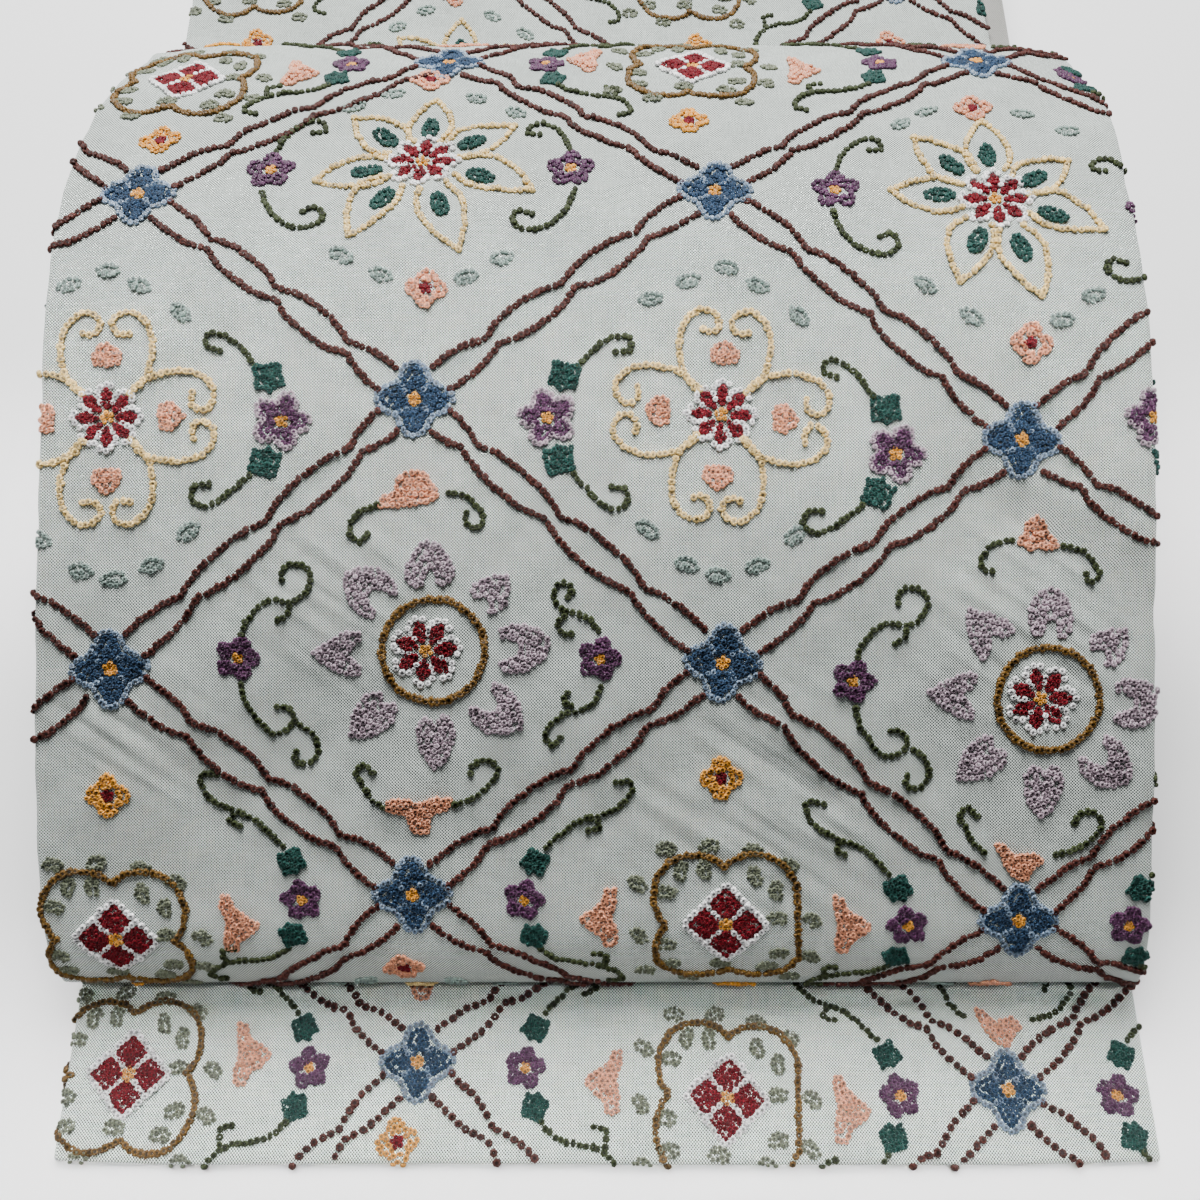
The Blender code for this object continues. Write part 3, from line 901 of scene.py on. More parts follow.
def filled(outline, size, spacing, inset=0.7, hollow=0.0):
    """A row of knots just inside an outline, and rows that fill the rest, but for a hollow."""
    outline = spaced(np.vstack((outline, outline[:1])), OUTLINE_STEP, closed=True)
    ahead = np.roll(outline, -2, axis=0) - np.roll(outline, 2, axis=0)
    inward = unit(np.column_stack((-ahead[:, 1], ahead[:, 0])))
    following = np.roll(outline, -1, axis=0)
    turning = (outline[:, 0] * following[:, 1] - outline[:, 1] * following[:, 0]).sum()
    rim = outline + inward * inset * np.sign(turning)
    rim = rim[inside(rim, outline, inset * 0.9)]
    rim = spaced(np.vstack((rim, rim[:1])), spacing, closed=True)
    low, high = outline.min(0), outline.max(0)
    rows = []
    for number, y in enumerate(np.arange(low[1] + inset, high[1], spacing * FILL_ROW_PITCH)):
        x = np.arange(low[0] + inset + number % 2 * spacing / 2, high[0], spacing)
        rows.append(np.column_stack((x, np.full(len(x), y))))
    rows = np.vstack(rows)
    rows = rows[inside(rows, outline, inset + FILL_TO_RIM * spacing)]
    points = np.vstack((rim, rows))
    return knots_at(points[np.hypot(*points.T) >= hollow], size)


def round_form(radius_at):
    """A closed outline: radius_at gives its radius at each angle."""
    angles = np.linspace(0.0, 2 * math.pi, OUTLINE_POINTS, endpoint=False)
    return np.column_stack((np.cos(angles), np.sin(angles))) * radius_at(angles)[:, None]


def petalled(petals, reach, waist, sharpness=1.0):
    """A flower's outline: petals that reach out, and its waist between them."""
    def radius_at(angle):
        return waist + (reach - waist) * np.abs(np.cos(petals * angle / 2)) ** sharpness

    return round_form(radius_at)


def oval(length, width):
    angles = np.linspace(0.0, 2 * math.pi, OVAL_POINTS, endpoint=False)
    return np.column_stack((length * np.cos(angles), width * np.sin(angles))) / 2


def placed(work, place=(0.0, 0.0), turn=0.0, size=1.0, flip=False):
    """The same work, mirrored, turned, made larger and moved, in its own units."""
    cos, sin = math.cos(math.radians(turn)), math.sin(math.radians(turn))
    matrix = np.array(((cos, sin), (-sin, cos))) * size
    if flip:
        matrix = np.array(((-1.0, 0.0), (0.0, 1.0))) @ matrix
    return [
        (yarn, np.column_stack((knots[:, :2] @ matrix + place, knots[:, 2])))
        for yarn, knots in work
    ]


def on_sash(work, place, turn=0.0, flip=False):
    """Work drawn in millimetres, at its place on the sash."""
    return [
        (yarn, np.column_stack((knots[:, :2] * MM + place, knots[:, 2] * MM)))
        for yarn, knots in placed(work, turn=turn, flip=flip)
    ]


def around(work, count, first=90.0):
    """The same work, drawn pointing up, repeated round a middle."""
    made = []
    for number in range(count):
        made += placed(work, turn=first - 90.0 + 360.0 * number / count)
    return made


def middle_of(yarn, size=1.7, radius=1.35, count=5):
    """A flower's middle: a few knots round one."""
    angles = np.linspace(0.0, 2 * math.pi, count, endpoint=False) + 0.5
    ring = np.column_stack((np.cos(angles), np.sin(angles))) * radius
    return [(yarn, knots_at(np.vstack(((0.0, 0.0), ring)), size))]


# Sizes in millimetres. A pair whose name ends in FILL or EDGE is a knot's diameter and spacing.
NODE_REACH = 11.2
NODE_WAIST = 7.4
NODE_SHARPNESS = 1.9
NODE_EDGE = (2.05, 1.7)
NODE_EDGE_SHARE = 0.94
NODE_RIM = 2.2
NODE_MIDDLE = 2.3
BETWEEN_PETALS = [(0.2, 5.2), (-0.3, 3.7)]
FILL = (1.85, 1.42)

dark_blue = thread("dark_blue_thread", (0.022, 0.050, 0.100))
light_blue = thread("light_blue_thread", (0.145, 0.210, 0.300), gloss=0.9)
yellow = thread("yellow_thread", (0.72, 0.30, 0.022), gloss=0.5)
node_outline = petalled(4, NODE_REACH, NODE_WAIST, NODE_SHARPNESS)
crossing_flower = [
    (light_blue, row_of(node_outline * NODE_EDGE_SHARE, *NODE_EDGE, closed=True)),
    (dark_blue, filled(node_outline, *FILL, NODE_RIM, NODE_MIDDLE)),
    *around([(light_blue, knots_at(BETWEEN_PETALS, 1.95))], 4, first=45.0),
    *middle_of(yellow, count=6),
]
chance = np.random.default_rng(5)
crossings = []
for row in ROWS:
    for column in COLUMNS:
        place = from_table(CROSSINGS, row, column)
        crossings += on_sash(crossing_flower, place, turn=chance.normal(0.0, 4.0))
sew("crossing_flowers", crossings, seed=12)


# ---------- the star flowers
# In every fourth row of diamonds: seven pointed petals outlined in pale yellow, each with a
# teal oval, round a red, white and yellow flower. Sage ovals and small flowers lie above and
# below it, and a purple flower with olive scrolls on each side.
MEDALLIONS = {
    # x and t of the left and the right one: rings, rosettes, hearts, stars, rings
    0: (-0.1350, 0.2925, 0.0362, 0.2972),
    1: (-0.0450, 0.3742, 0.1250, 0.3608),
    2: (-0.1365, 0.4390, 0.0345, 0.4401),
    3: (-0.0520, 0.5233, 0.1160, 0.5067),
    4: (-0.1320, 0.5642, 0.0270, 0.5733),
    -1: (-0.0520, 0.2410, 0.1160, 0.2260),
    -4: (-0.1338, 0.0245, 0.0377, 0.0182),
}
RING_ROW, ROSETTE_ROW, HEART_ROW, STAR_ROW = range(ROWS_IN_A_REPEAT)
# Side sprays that sit a little off: (row, column, side) and how far.
SPRAY_NUDGES = {
    (3, 1, -1): (-0.0020, 0.0080),
    (2, 1, 1): (0.0, -0.0100),
    (1, 1, -1): (0.0, 0.0070),
}
# The petals of a left star and of a right one: direction, length, how far it leans.
STAR_PETALS_LEFT = [
    (91, 27.5, 0.0), (33, 30.0, 0.0), (-20, 36.0, -2.4), (-68, 36.5, 0.0), (-121, 35.0, 2.4),
    (-164, 31.8, 0.0), (142, 30.6, 0.0),
]
STAR_PETALS_RIGHT = [
    (92, 33.4, 0.0), (33, 27.2, 0.0), (-21, 31.6, -2.4), (-74, 34.0, 0.0), (-116, 31.0, 2.0),
    (174, 30.4, 0.0), (131, 33.6, 0.0),
]
STAR_EDGE = (2.2, 1.7)
STAR_SEED = (5.0, 9.6)
STAR_SEED_SHARE = 0.53
STAR_PETAL_SIDE = [(4.0, 0.33), (6.1, 0.45), (6.4, 0.60), (4.0, 0.82), (0.0, 1.0)]
SAGE_OVAL = (7.6, 4.7)
SAGE_FILL = (1.7, 1.45)
# The sage ovals round them: x, y, turn.
STAR_OVALS_LEFT = [
    (-14.4, 31.5, 20), (-25.2, 23.8, 28), (11.4, 30.2, -25), (24.5, 22.6, -30),
    (-19.5, -36.7, -25), (-8.0, -42.5, -20), (16.0, -42.7, 15), (26.0, -36.5, 25),
]
STAR_OVALS_RIGHT = [
    (-17.5, 38.4, 20), (-25.5, 32.0, 40), (11.6, 36.6, -25), (24.4, 28.6, -15),
    (-23.5, -28.7, -35), (-11.0, -38.5, -28), (14.0, -40.0, 8), (23.5, -32.5, 18),
]
SMALL_FLOWER_ABOVE = (-3.5, 40.0)
SMALL_FLOWER_BELOW = (5.0, -46.6)
STAR_SPRAY_PLACE = (44.2, -4.5)
STAR_SCROLLS = [
    [(-0.5, 8.0), (-3.0, 15.0), (-8.5, 20.5), (-13.0, 20.0), (-14.0, 16.5), (-10.5, 15.8)],
    [(1.5, -8.5), (-0.5, -15.0), (-6.0, -21.5), (-12.5, -23.0), (-16.5, -19.5), (-14.5, -16.0),
     (-11.0, -17.5)],
]
SCROLL_EDGE = (2.15, 1.8)
SPRAY_TURNS = 3.0
# The little white-edged flower: its petals' red and white knots, for eight petals and a reach.
PETAL_REACH = 9.8
PETAL_RED = [
    (0.0, 3.0), (-0.8, 4.2), (0.8, 4.2), (-1.3, 5.5), (0.0, 5.4), (1.3, 5.5), (-0.8, 6.7),
    (0.8, 6.7), (0.0, 7.8),
]
PETAL_WHITE = [(-2.5, 7.3), (-1.6, 8.7), (0.0, 9.5), (1.6, 8.7)]
PETAL_DIVIDE = [(0.0, 4.7), (0.0, 6.2)]


def row_places(kind):
    """Row, column and place of each medallion of one kind, along the whole sash."""
    for row in ROWS:
        if row % ROWS_IN_A_REPEAT == kind:
            for column in COLUMNS:
                yield row, column, from_table(MEDALLIONS, row, column)


def sprays_beside(row, column, place, sprays, chance):
    """The sprays beside a place. A spray is a side, x and y from there, work, and if to flip it."""
    made = []
    for side, x, y, work, flip in sprays:
        offset = np.array((x, y)) * MM + SPRAY_NUDGES.get((row, column, side), (0.0, 0.0))
        made += on_sash(work, place + offset, turn=chance.normal(0.0, SPRAY_TURNS), flip=flip)
    return made


def on_both_sides(place, work, flipped):
    """A spray for each side of a place, turned over on one of them."""
    return [(side, side * place[0], place[1], work, side == flipped) for side in (-1, 1)]


def scrolls(yarn, curves):
    """A row of knots along each of the curves."""
    return [(yarn, row_of(smooth(curve), *SCROLL_EDGE)) for curve in curves]


pale_yellow = thread("pale_yellow_thread", (0.74, 0.52, 0.19), gloss=0.8)
teal = thread("teal_thread", (0.012, 0.057, 0.047))
red = thread("red_thread", (0.152, 0.0021, 0.0090))
white = thread("white_thread", (0.86, 0.85, 0.85), gloss=1.0)
peach = thread("peach_thread", (0.70, 0.28, 0.15), gloss=0.7)
sage = thread("sage_thread", (0.225, 0.305, 0.270), gloss=0.7)
purple = thread("purple_thread", (0.076, 0.019, 0.065), gloss=0.3)
olive = thread("olive_thread", (0.035, 0.046, 0.016))


def white_edged(petals, reach):
    """A small red flower whose petals are set in white knots."""
    grown = reach / PETAL_REACH
    stretched = (8 / petals, grown)
    flower = around([(red, knots_at(np.array(PETAL_RED) * stretched, 1.8))], petals)
    flower += around([(white, knots_at(np.array(PETAL_WHITE) * stretched, 2.1))], petals)
    between = [(white, knots_at(np.array(PETAL_DIVIDE) * grown, 1.9))]
    flower += around(between, petals, first=90.0 + 180.0 / petals)
    return flower + middle_of(yellow, 1.6)


def small_flower(yarn):
    """A small flower of four petals with a red middle."""
    petals = filled(petalled(4, 6.2, 4.3), 1.9, 1.5, inset=0.7, hollow=2.1)
    return [(yarn, petals), *middle_of(red, 1.7, 1.25)]


sage_oval = [(sage, filled(oval(*SAGE_OVAL), *SAGE_FILL, inset=0.7))]


def star_flower(petals, ovals):
    """A whole star flower, with the ovals round it and the small flower below it."""
    star = [*white_edged(8, 10.8), *placed(small_flower(peach), SMALL_FLOWER_BELOW, turn=-6)]
    for direction, length, lean in petals:
        for side in (-1, 1):
            curve = smooth(STAR_PETAL_SIDE) * (side, length)
            curve[:, 0] += lean * np.sin(math.pi * curve[:, 1] / length)
            star += placed([(pale_yellow, row_of(curve, *STAR_EDGE))], turn=direction - 90)
        seed = [(teal, filled(oval(*STAR_SEED), *FILL, inset=0.6))]
        star += placed(placed(seed, (0.0, STAR_SEED_SHARE * length)), turn=direction - 90)
    for x, y, turn in ovals:
        star += placed(sage_oval, (x, y), turn=turn)
    return star


five_petals = petalled(5, 7.3, 4.7)
purple_flower = [(purple, filled(five_petals, *FILL, inset=0.6, hollow=2.2))]
purple_flower += middle_of(yellow, 1.6, 1.2)
star_spray = [*placed(purple_flower, turn=18), *scrolls(olive, STAR_SCROLLS)]
star_sprays = on_both_sides(STAR_SPRAY_PLACE, star_spray, flipped=-1)
chance = np.random.default_rng(6)
stars = []
star_kinds = [
    star_flower(STAR_PETALS_LEFT, STAR_OVALS_LEFT),
    star_flower(STAR_PETALS_RIGHT, STAR_OVALS_RIGHT),
]
for row, column, place in row_places(STAR_ROW):
    flower = small_flower(peach if row >= -1 else yellow)
    stars += on_sash(placed(flower, SMALL_FLOWER_ABOVE, turn=8), place)
    stars += on_sash(star_kinds[column % 2], place, turn=chance.normal(0.0, 1.5))
    stars += sprays_beside(row, column, place, star_sprays, chance)
sew("star_flowers", stars, seed=13)


# ---------- the heart flowers
# Four heart-shaped petals outlined in pale yellow, curled at their notches, each with a peach
# bud. Arcs of sage ovals lie above and below, and lilac-edged flowers with leaves beside it.
HEART_EDGE = (2.25, 1.7)
HEART_SIDE = [
    (6.8, 6.4), (10.4, 10.2), (12.4, 15.6), (12.8, 21.2), (11.2, 26.4), (7.4, 29.8), (3.2, 29.2),
    (1.6, 26.2), (3.4, 23.6), (6.4, 23.8),
]
HEART_OVALS = [
    (-21.5, 32.4, 15), (-11.2, 38.6, 22), (-0.5, 43.0, -8), (8.6, 38.2, -26), (20.6, 29.8, -45),
    (-18.5, -33.5, -30), (-7.0, -42.5, -14), (2.0, -45.0, 0), (12.5, -41.5, 20), (22.5, -32.5, 36),
]
HEART_SPRAY_PLACE = (48.5, -1.0)
HEART_SCROLLS = [
    [(-7.6, 15.4), (-11.4, 20.0), (-16.6, 24.2), (-21.2, 24.6), (-21.8, 21.0), (-18.0, 20.0)],
    [(-8.2, -15.4), (-12.4, -19.4), (-16.0, -22.6), (-20.0, -24.4), (-23.8, -22.6),
     (-23.2, -18.8), (-19.2, -18.2)],
]
HEART_BUD = [
    (-3.8, -2.8), (0.0, -3.4), (3.8, -2.8), (4.6, 0.2), (2.4, 2.6), (0.0, 4.2), (-2.4, 2.6),
    (-4.6, 0.2),
]
LILAC_EDGE = (2.0, 1.6)
LEAF = [
    (-4.2, -3.0), (-1.6, -2.8), (0.0, -4.8), (1.8, -3.0), (4.4, -3.2), (4.0, 0.6), (4.4, 4.2),
    (0.4, 4.0), (-3.8, 4.6), (-4.0, 0.6),
]

lilac = thread("lilac_thread", (0.35, 0.26, 0.31), gloss=1.0)
heart_petal = [
    *[(pale_yellow, row_of(smooth(HEART_SIDE) * (side, 1), *HEART_EDGE)) for side in (1, -1)],
    *placed([(peach, filled(HEART_BUD, 1.9, 1.55, inset=0.7))], (0.0, 17.6)),
]
heart = [*around(heart_petal, 4), *white_edged(8, 9.8)]
for x, y, turn in HEART_OVALS:
    heart += placed(sage_oval, (x, y), turn=turn)
edged = petalled(5, 8.6, 5.0)
edged_flower = [
    (lilac, row_of(edged * 0.93, *LILAC_EDGE, closed=True)),
    (purple, filled(edged * 0.86, *FILL, inset=0.6, hollow=2.2)),
    *middle_of(yellow, 1.6, 1.2),
]
leaf = [(teal, filled(LEAF, *FILL, inset=0.6))]
heart_spray = [
    *edged_flower,
    *placed(leaf, (-4.0, 12.0), turn=12),
    *placed(leaf, (-4.0, -11.4), turn=168),
    *scrolls(olive, HEART_SCROLLS),
]
heart_sprays = on_both_sides(HEART_SPRAY_PLACE, heart_spray, flipped=-1)
chance = np.random.default_rng(7)
hearts = []
for row, column, place in row_places(HEART_ROW):
    hearts += on_sash(heart, place, turn=chance.normal(0.0, 2.0))
    hearts += sprays_beside(row, column, place, heart_sprays, chance)
sew("heart_flowers", hearts, seed=14)


# ---------- the rosettes
# A mustard circle round a red flower, with eight lilac petals set apart round it. Peach buds
# with olive scrolls lie above and below, and purple flowers with branching scrolls beside it.
ROSETTE_RADIUS = 14.2
ROSETTE_EDGE = (2.5, 1.65)
LILAC_FILL = (2.05, 1.75)
BUD_FILL = (2.0, 1.6)
LITTLE_FLOWER_SIZE = 0.84
# The lilac petals' shapes, with their notches at the foot.
ARCH = [
    (0.0, 31.4), (3.4, 30.2), (5.8, 27.0), (6.6, 23.0), (6.0, 19.0), (4.4, 16.4), (2.0, 16.6),
    (1.5, 19.0), (0.8, 21.6), (-0.8, 21.6), (-1.5, 19.0), (-2.2, 16.6), (-4.6, 16.4),
    (-6.2, 19.2), (-6.6, 23.4), (-5.8, 27.4), (-3.4, 30.4),
]
CAP = [
    (-1.0, 31.2), (2.4, 30.2), (4.8, 26.6), (7.0, 22.8), (5.6, 18.8), (3.0, 17.2), (1.2, 18.2),
    (0.8, 21.2), (-0.4, 22.6), (-1.6, 20.6), (-2.4, 17.6), (-5.0, 16.8), (-7.8, 19.8),
    (-7.6, 24.0), (-5.4, 26.8), (-3.8, 29.8),
]
HOOK = [
    (-1.0, 33.0), (3.0, 31.2), (6.8, 26.6), (7.4, 21.6), (5.6, 17.8), (2.8, 17.8), (2.4, 20.8),
    (1.2, 23.4), (-1.2, 23.6), (-2.4, 21.0), (-2.6, 18.0), (-5.4, 17.8), (-7.2, 21.6),
    (-6.6, 26.8), (-4.0, 31.2),
]
ARROW = [
    (0.5, 34.6), (3.8, 29.6), (6.6, 24.6), (6.8, 20.0), (4.4, 19.2), (2.0, 21.0), (0.0, 23.4),
    (-2.0, 21.2), (-4.6, 19.4), (-6.8, 20.4), (-6.2, 25.4), (-3.2, 30.6),
]
SPADE = [
    (0.5, 33.6), (3.4, 30.6), (5.4, 26.4), (5.6, 21.4), (3.6, 18.0), (1.4, 18.0), (0.0, 20.0),
    (-1.6, 17.8), (-4.0, 17.8), (-6.0, 21.6), (-5.4, 26.6), (-2.8, 31.4),
]
BLUNT = [
    (0.6, 30.0), (3.6, 27.4), (6.6, 22.8), (5.8, 18.2), (3.2, 17.6), (2.0, 20.2), (0.4, 20.4),
    (-1.2, 17.6), (-4.0, 18.2), (-5.0, 21.6), (-2.8, 26.6),
]
LILAC_LEFT = (CAP, HOOK, ARROW, SPADE, SPADE, HOOK, HOOK, BLUNT)
LILAC_RIGHT = (ARCH, ARROW, ARROW, SPADE, SPADE, HOOK, HOOK, BLUNT)
DOME_BUD = [
    (-9.4, -5.0), (-3.0, -5.2), (3.6, -4.4), (7.4, -2.8), (7.0, 0.2), (5.2, 1.4), (4.4, 4.2),
    (1.0, 5.4), (-2.6, 4.8), (-5.0, 2.2), (-5.4, -0.8), (-9.2, -1.6),
]
WIDE_BUD = [
    (-9.2, -5.0), (-3.6, -5.2), (0.0, -3.8), (3.6, -5.2), (9.2, -4.8), (8.8, -1.4), (3.6, -0.2),
    (2.2, 5.2), (-2.4, 5.2), (-3.6, 0.0), (-8.6, -1.6),
]
TRIANGLE_BUD = [
    (0.5, 6.6), (2.6, 4.2), (3.2, 2.4), (5.5, 0.0), (7.2, -2.4), (4.0, -4.0), (1.5, -2.9),
    (-1.5, -4.0), (-4.8, -2.6), (-4.6, -0.4), (-3.0, 1.2), (-3.0, 3.9), (-1.2, 5.4),
]
LEANING_BUD = [
    (-9.8, 4.6), (-6.0, 4.0), (-3.0, 1.0), (0.0, 1.7), (2.8, 2.2), (5.6, -1.0), (2.6, -2.9),
    (0.8, -6.9), (-2.8, -5.8), (-5.8, -2.2), (-7.0, 0.6),
]
BUD_ABOVE = (-4.8, 45.0)
BUD_BELOW = (-5.2, -46.0)
BUD_SCROLLS_ABOVE = [
    [(-10.0, -4.2), (-14.0, -5.6), (-17.2, -8.8), (-17.2, -12.6), (-14.6, -14.2), (-12.4, -12.0)],
    [(10.0, -1.4), (14.2, -2.2), (17.6, -5.2), (19.4, -9.0), (17.6, -11.6), (14.6, -10.0),
     (14.8, -7.0)],
]
TRIANGLE_SCROLLS = [
    [(-6.4, -1.4), (-9.7, -1.8), (-12.5, -3.0), (-14.3, -5.2), (-15.2, -7.8), (-14.7, -9.8),
     (-12.1, -10.4)],
    [(8.2, -2.3), (10.2, -2.5), (12.7, -3.3), (15.0, -4.9), (16.8, -6.9), (17.7, -9.4),
     (16.9, -11.8), (15.0, -12.0), (14.6, -9.8)],
]
BUD_SCROLLS_BELOW = [
    [(-10.0, 2.8), (-13.4, 5.6), (-15.4, 9.4), (-17.2, 12.8), (-14.8, 14.8), (-12.6, 12.4)],
    [(10.0, 2.8), (15.6, 4.8), (20.3, 8.8), (22.2, 12.8), (19.5, 15.2), (15.6, 14.2), (14.6, 11.6)],
]
ROSETTE_SPRAY_LEFT = (-54.0, -2.0)
ROSETTE_SPRAY_RIGHT = (46.0, -2.2)
SCROLLS_LEFT = [
    [(1.0, 6.5), (2.0, 9.5), (5.0, 13.5), (9.0, 16.0), (13.0, 15.6), (16.0, 15.8), (19.0, 18.5),
     (20.0, 22.5), (18.0, 25.5), (14.0, 26.0), (12.0, 24.0), (12.0, 21.5)],
    [(14.2, 14.2), (13.6, 12.0), (11.0, 10.4)],
    [(1.0, -7.5), (2.0, -11.5), (5.0, -16.5), (9.0, -20.6), (13.0, -20.2), (15.6, -17.6),
     (15.0, -15.0), (13.0, -13.4), (10.8, -13.6)],
    [(17.4, -18.8), (20.2, -20.6), (22.0, -24.5), (21.0, -28.2), (18.0, -29.6), (15.5, -28.4),
     (16.0, -26.0)],
]
SCROLLS_RIGHT = [
    [(0.3, 7.6), (-2.0, 11.0), (-6.0, 13.0), (-9.8, 15.0), (-11.6, 18.4), (-9.6, 21.6),
     (-6.4, 20.2), (-7.6, 17.6)],
    [(-8.8, 12.6), (-11.0, 10.4), (-9.6, 7.8), (-7.2, 7.6)],
    [(0.0, -7.8), (-2.0, -11.6), (-6.0, -13.8), (-10.2, -14.4), (-14.4, -17.0), (-16.4, -20.6),
     (-14.2, -23.0), (-12.2, -20.8)],
    [(-8.4, -12.4), (-10.8, -10.6), (-9.4, -8.6)],
]

mustard = thread("mustard_thread", (0.135, 0.067, 0.008), gloss=0.2)
circle = round_form(lambda angle: np.full(len(angle), ROSETTE_RADIUS))
circle = np.vstack((circle, circle[:1]))


def peach_bud(outline):
    return [(peach, filled(outline, *BUD_FILL, inset=0.7))]


def rosette(petals, above, below):
    """A rosette with its lilac petals, and what lies above and below it."""
    made = [(mustard, row_of(circle, *ROSETTE_EDGE, closed=True))]
    made += placed(white_edged(7, 9.8), (-2.0, 0.0), turn=16)
    for number, petal in enumerate(petals):
        turn = 360.0 * number / len(petals)
        made += placed([(lilac, filled(petal, *LILAC_FILL, inset=1.0))], turn=turn)
    made += placed(above, BUD_ABOVE)
    return made + placed([*below, *scrolls(olive, BUD_SCROLLS_BELOW)], BUD_BELOW)


rosette_kinds = [
    rosette(
        LILAC_LEFT,
        [*peach_bud(DOME_BUD), *scrolls(olive, BUD_SCROLLS_ABOVE)],
        placed(peach_bud(WIDE_BUD), turn=180),
    ),
    rosette(
        LILAC_RIGHT,
        [*peach_bud(TRIANGLE_BUD), *scrolls(olive, TRIANGLE_SCROLLS)],
        placed(peach_bud(LEANING_BUD), (1.7, 1.2)),
    ),
]
little_flower = placed(purple_flower, size=LITTLE_FLOWER_SIZE)
rosette_sprays = [
    (-1, *ROSETTE_SPRAY_LEFT, [*little_flower, *scrolls(olive, SCROLLS_LEFT)], False),
    (1, *ROSETTE_SPRAY_RIGHT, [*little_flower, *scrolls(olive, SCROLLS_RIGHT)], False),
]
chance = np.random.default_rng(8)
rosettes = []
for row, column, place in row_places(ROSETTE_ROW):
    rosettes += on_sash(rosette_kinds[column % 2], place, turn=chance.normal(0.0, 3.0))
    rosettes += sprays_beside(row, column, place, rosette_sprays, chance)
sew("rosettes", rosettes, seed=15)


# ---------- the vine rings
# A mustard vine bends round a red flower of four petals edged in white, with sage leaves on
# both its sides. Peach buds point away from it, and small yellow flowers lie above and below.
VINE_RADIUS = 16.6
VINE_LOBE = 7.0
VINE_LOBE_SHARPNESS = 0.9
VINE_STRAIGHT_SIDE = 20.2
VINE_CORNER = 23.2
VINE_SIDE_BEGINS = 0.72
VINE_EDGE = (2.4, 1.65)
VINE_LEAF_FILL = (1.6, 1.35)
VINE_LEAVES = [
    # x, y, turn
    (-16.0, 21.8, 0), (-4.0, 22.5, 20), (8.0, 21.0, 0), (18.0, 17.0, -15), (-12.0, 15.6, 80),
    (-5.5, 15.8, 100), (8.5, 14.0, 110), (14.4, 9.8, 100), (-24.2, 12.0, -30), (-16.2, 9.6, 0),
    (-24.5, -3.0, -45), (-17.0, -6.0, 0), (14.4, 1.6, 10), (24.2, 1.0, -30), (14.6, -9.6, 15),
    (23.6, -11.0, -30), (-16.0, -13.8, 20), (-23.5, -17.6, 0), (-11.0, -21.6, 0),
    (-2.0, -13.8, 0), (11.4, -15.6, 0), (17.6, -22.0, 0),
]
VINE_LEAF = [
    (-2.9, -0.6), (-2.2, -1.7), (-0.4, -1.3), (0.6, -2.1), (2.2, -1.6), (3.1, 0.2), (1.6, 1.5),
    (0.2, 2.1), (-1.4, 1.9), (-2.6, 0.9),
]
RED_FILL = (1.65, 1.3)
WHITE_EDGE = (2.1, 1.9)
RED_PETAL = [
    (0.0, 1.4), (2.6, 3.3), (4.9, 5.6), (2.7, 8.2), (0.0, 10.7), (-2.7, 8.2), (-4.9, 5.6),
    (-2.6, 3.3),
]
PETAL_ROUND = [(5.9, 5.9), (3.1, 9.0), (0.0, 11.8), (-3.1, 9.0), (-5.9, 5.9)]
SIDE_BUD = [
    (-4.8, 8.8), (-1.9, 8.4), (-0.4, 4.8), (2.6, 2.6), (6.6, -0.4), (3.6, -3.4), (0.5, -5.4),
    (-1.0, -9.2), (-4.3, -8.8), (-4.5, -4.6), (-3.4, 0.0), (-4.6, 4.4),
]
BUD_LEFT = (-35.0, 2.6)
# The right bud's place in the rings of column 0, and in the others.
BUD_RIGHT_LEFT_RING = (34.6, 5.4)
BUD_RIGHT = (34.8, -0.6)
YELLOW_FLOWER_ABOVE = (-0.5, 41.5)
YELLOW_FLOWER_BELOW = (1.5, -33.0)


def vine_radius(angle):
    """Four lobes with a notch between each two of them."""
    lobe = np.abs(np.sin(2 * angle)) ** VINE_LOBE_SHARPNESS
    return VINE_RADIUS + VINE_LOBE * lobe


def straight_sided(angle):
    """The same, but for a straight right side."""
    lobes = vine_radius(angle)
    side = np.minimum(VINE_STRAIGHT_SIDE / np.maximum(np.cos(angle), 0.5), VINE_CORNER)
    return np.where(np.cos(angle) > VINE_SIDE_BEGINS, np.maximum(lobes, side), lobes)


vine_sage = thread("vine_sage_thread", (0.150, 0.170, 0.108), gloss=0.5)
vine_leaf = [(vine_sage, filled(VINE_LEAF, *VINE_LEAF_FILL, inset=0.4))]
ring = []
for x, y, turn in VINE_LEAVES:
    ring += placed(vine_leaf, (x, y), turn=turn)
big_petal = [
    (red, filled(RED_PETAL, *RED_FILL, inset=0.5)),
    (white, row_of(PETAL_ROUND, *WHITE_EDGE)),
    *placed([(white, knots_at([(0.0, 3.2), (0.0, 5.1), (0.0, 6.9)], 1.9))], turn=45),
]
ring += [*around(big_petal, 4, first=88.0), *middle_of(yellow, 1.6, 1.5, 6)]
side_bud = peach_bud(SIDE_BUD)
ring += placed(side_bud, BUD_LEFT, flip=True)
ring += placed(small_flower(yellow), YELLOW_FLOWER_ABOVE)
ring += placed(small_flower(yellow), YELLOW_FLOWER_BELOW, turn=10)
chance = np.random.default_rng(9)
rings = []
for row, column, place in row_places(RING_ROW):
    vine = round_form(straight_sided if column == 1 and row <= 0 else vine_radius)
    vine_row = row_of(np.vstack((vine, vine[:1])), *VINE_EDGE, closed=True)
    bud_place = BUD_RIGHT_LEFT_RING if column == 0 else BUD_RIGHT
    whole = [*ring, (mustard, vine_row), *placed(side_bud, bud_place)]
    rings += on_sash(whole, place, turn=chance.normal(0.0, 2.0))
sew("vine_rings", rings, seed=16)


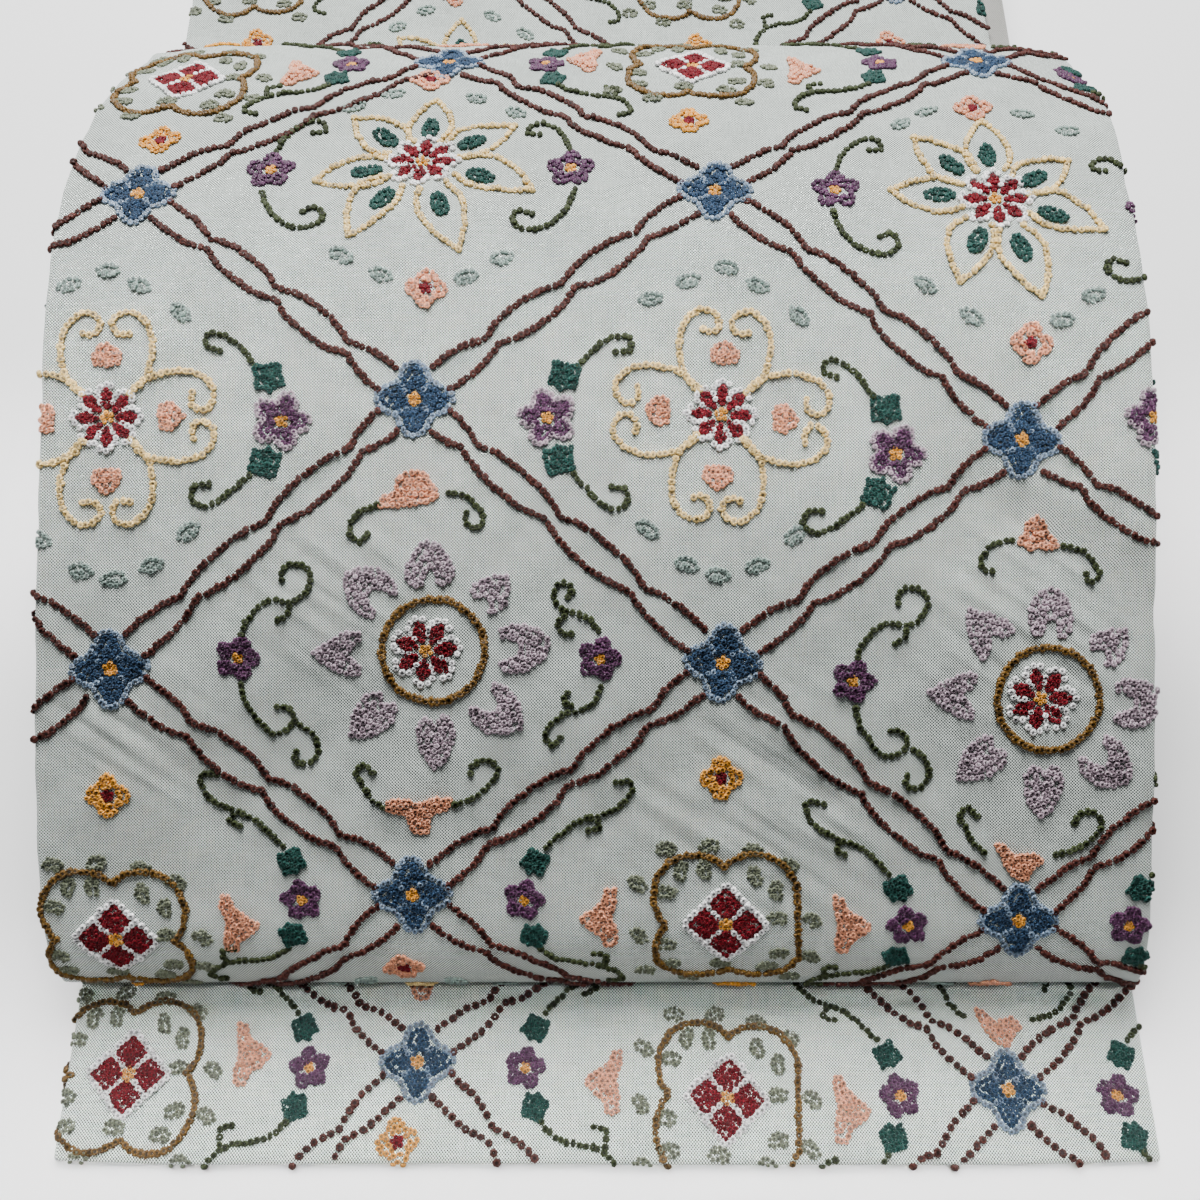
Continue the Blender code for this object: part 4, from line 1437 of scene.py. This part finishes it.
# ---------- the sprays between the rings
# On both sides of the crossings between the rings: a purple flower between two teal leaves,
# with an olive scroll that runs out from each leaf.
RING_FLOWER_PLACE = (31.0, -1.5)
RING_FLOWER_SIZE = 0.80
RING_SCROLLS = [
    [(-5.6, 15.0), (-9.0, 18.5), (-14.5, 22.8), (-20.5, 24.8), (-26.0, 27.8), (-28.8, 32.0),
     (-28.2, 34.8), (-24.0, 34.2)],
    [(-19.6, 23.2), (-20.4, 21.2), (-17.4, 20.3)],
    [(-4.6, -14.5), (-8.5, -17.8), (-14.5, -19.6), (-20.5, -20.8), (-26.0, -24.8), (-27.4, -29.5),
     (-23.6, -31.0)],
    [(-22.5, -20.4), (-23.0, -16.6), (-19.5, -15.6)],
]

ring_spray = [
    *placed(purple_flower, turn=30, size=RING_FLOWER_SIZE),
    *placed(leaf, (-2.8, 10.6), turn=30, size=RING_FLOWER_SIZE),
    *placed(leaf, (-2.8, -10.2), turn=200, size=RING_FLOWER_SIZE),
    *scrolls(olive, RING_SCROLLS),
]
both_ring_sprays = on_both_sides(RING_FLOWER_PLACE, ring_spray, flipped=1)
chance = np.random.default_rng(10)
ring_sprays = []
for row, column, _ in row_places(RING_ROW):
    crossing = from_table(CROSSINGS, row, column)
    ring_sprays += sprays_beside(row, column, crossing, both_ring_sprays, chance)
sew("ring_sprays", ring_sprays, seed=17)


# ---------- the table, light, camera
# A pale table under a large soft box above and behind, with two narrow strip lamps: over the
# drum's front and over the tail's tip. It is seen from in front, from steeply above.
TABLE_SIZE = 6.0
TABLE_CLEARANCE = 0.0003
SKY_LIGHT = 0.12
CAMERA_PLACE = (0.0, -0.3043, 0.398)
CAMERA_TILT = math.radians(25.3)

bpy.ops.mesh.primitive_plane_add(size=TABLE_SIZE, location=(0.0, 0.0, -TABLE_CLEARANCE))
table = bpy.context.object
table.name = "table"
paint, tree, shader = new_material("pale_table")
tone = remap(tree, node(tree, "TexNoise", {"Scale": 40.0, "Detail": 3.0}), 0.0, 1.0, 0.86, 0.90)
feed(tree, shader, {"Base Color": scaled(tree, (1.0, 1.0, 1.0), tone), "Roughness": 0.9})
table.data.materials.append(paint)

world = bpy.data.worlds.new("studio")
world.use_nodes = True
world.node_tree.nodes["Background"].inputs[0].default_value = (0.95, 0.98, 1.0, 1.0)
world.node_tree.nodes["Background"].inputs[1].default_value = SKY_LIGHT
bpy.context.scene.world = world

SOFT_BOXES = [
    # name, place, aimed at, width, depth, spread in degrees, power
    ("above_and_behind", (-0.12, 0.83, 1.32), (0.0, 0.0, 0.05), 1.0, 1.0, 180, 77.0),
    ("above_the_drum", (0.0, -0.085, 0.95), (0.0, -0.085, 0.0), 0.6, 0.02, 9.5, 0.125),
    ("above_the_tail", (0.0, -0.292, 0.80), (0.0, -0.292, 0.0), 0.6, 0.02, 11.6, 0.245),
]
for name, place, aim, width, depth, spread, power in SOFT_BOXES:
    lamp = bpy.data.lights.new(name, "AREA")
    lamp.shape = "RECTANGLE"
    lamp.size = width
    lamp.size_y = depth
    lamp.spread = math.radians(spread)
    lamp.energy = power
    lamp_object = bpy.data.objects.new(name, lamp)
    bpy.context.scene.collection.objects.link(lamp_object)
    direction = np.array(aim) - np.array(place)
    lamp_object.location = place
    lamp_object.rotation_euler = (
        math.atan2(math.hypot(direction[0], direction[1]), -direction[2]),
        0.0,
        math.atan2(-direction[0], direction[1]),
    )

camera_data = bpy.data.cameras.new("camera")
camera_data.lens = 39.0
camera_data.sensor_width = 36.0
camera_data.clip_start = 0.01
camera = bpy.data.objects.new("camera", camera_data)
camera.location = CAMERA_PLACE
camera.rotation_euler = (CAMERA_TILT, 0.0, 0.0)
bpy.context.scene.collection.objects.link(camera)
bpy.context.scene.camera = camera
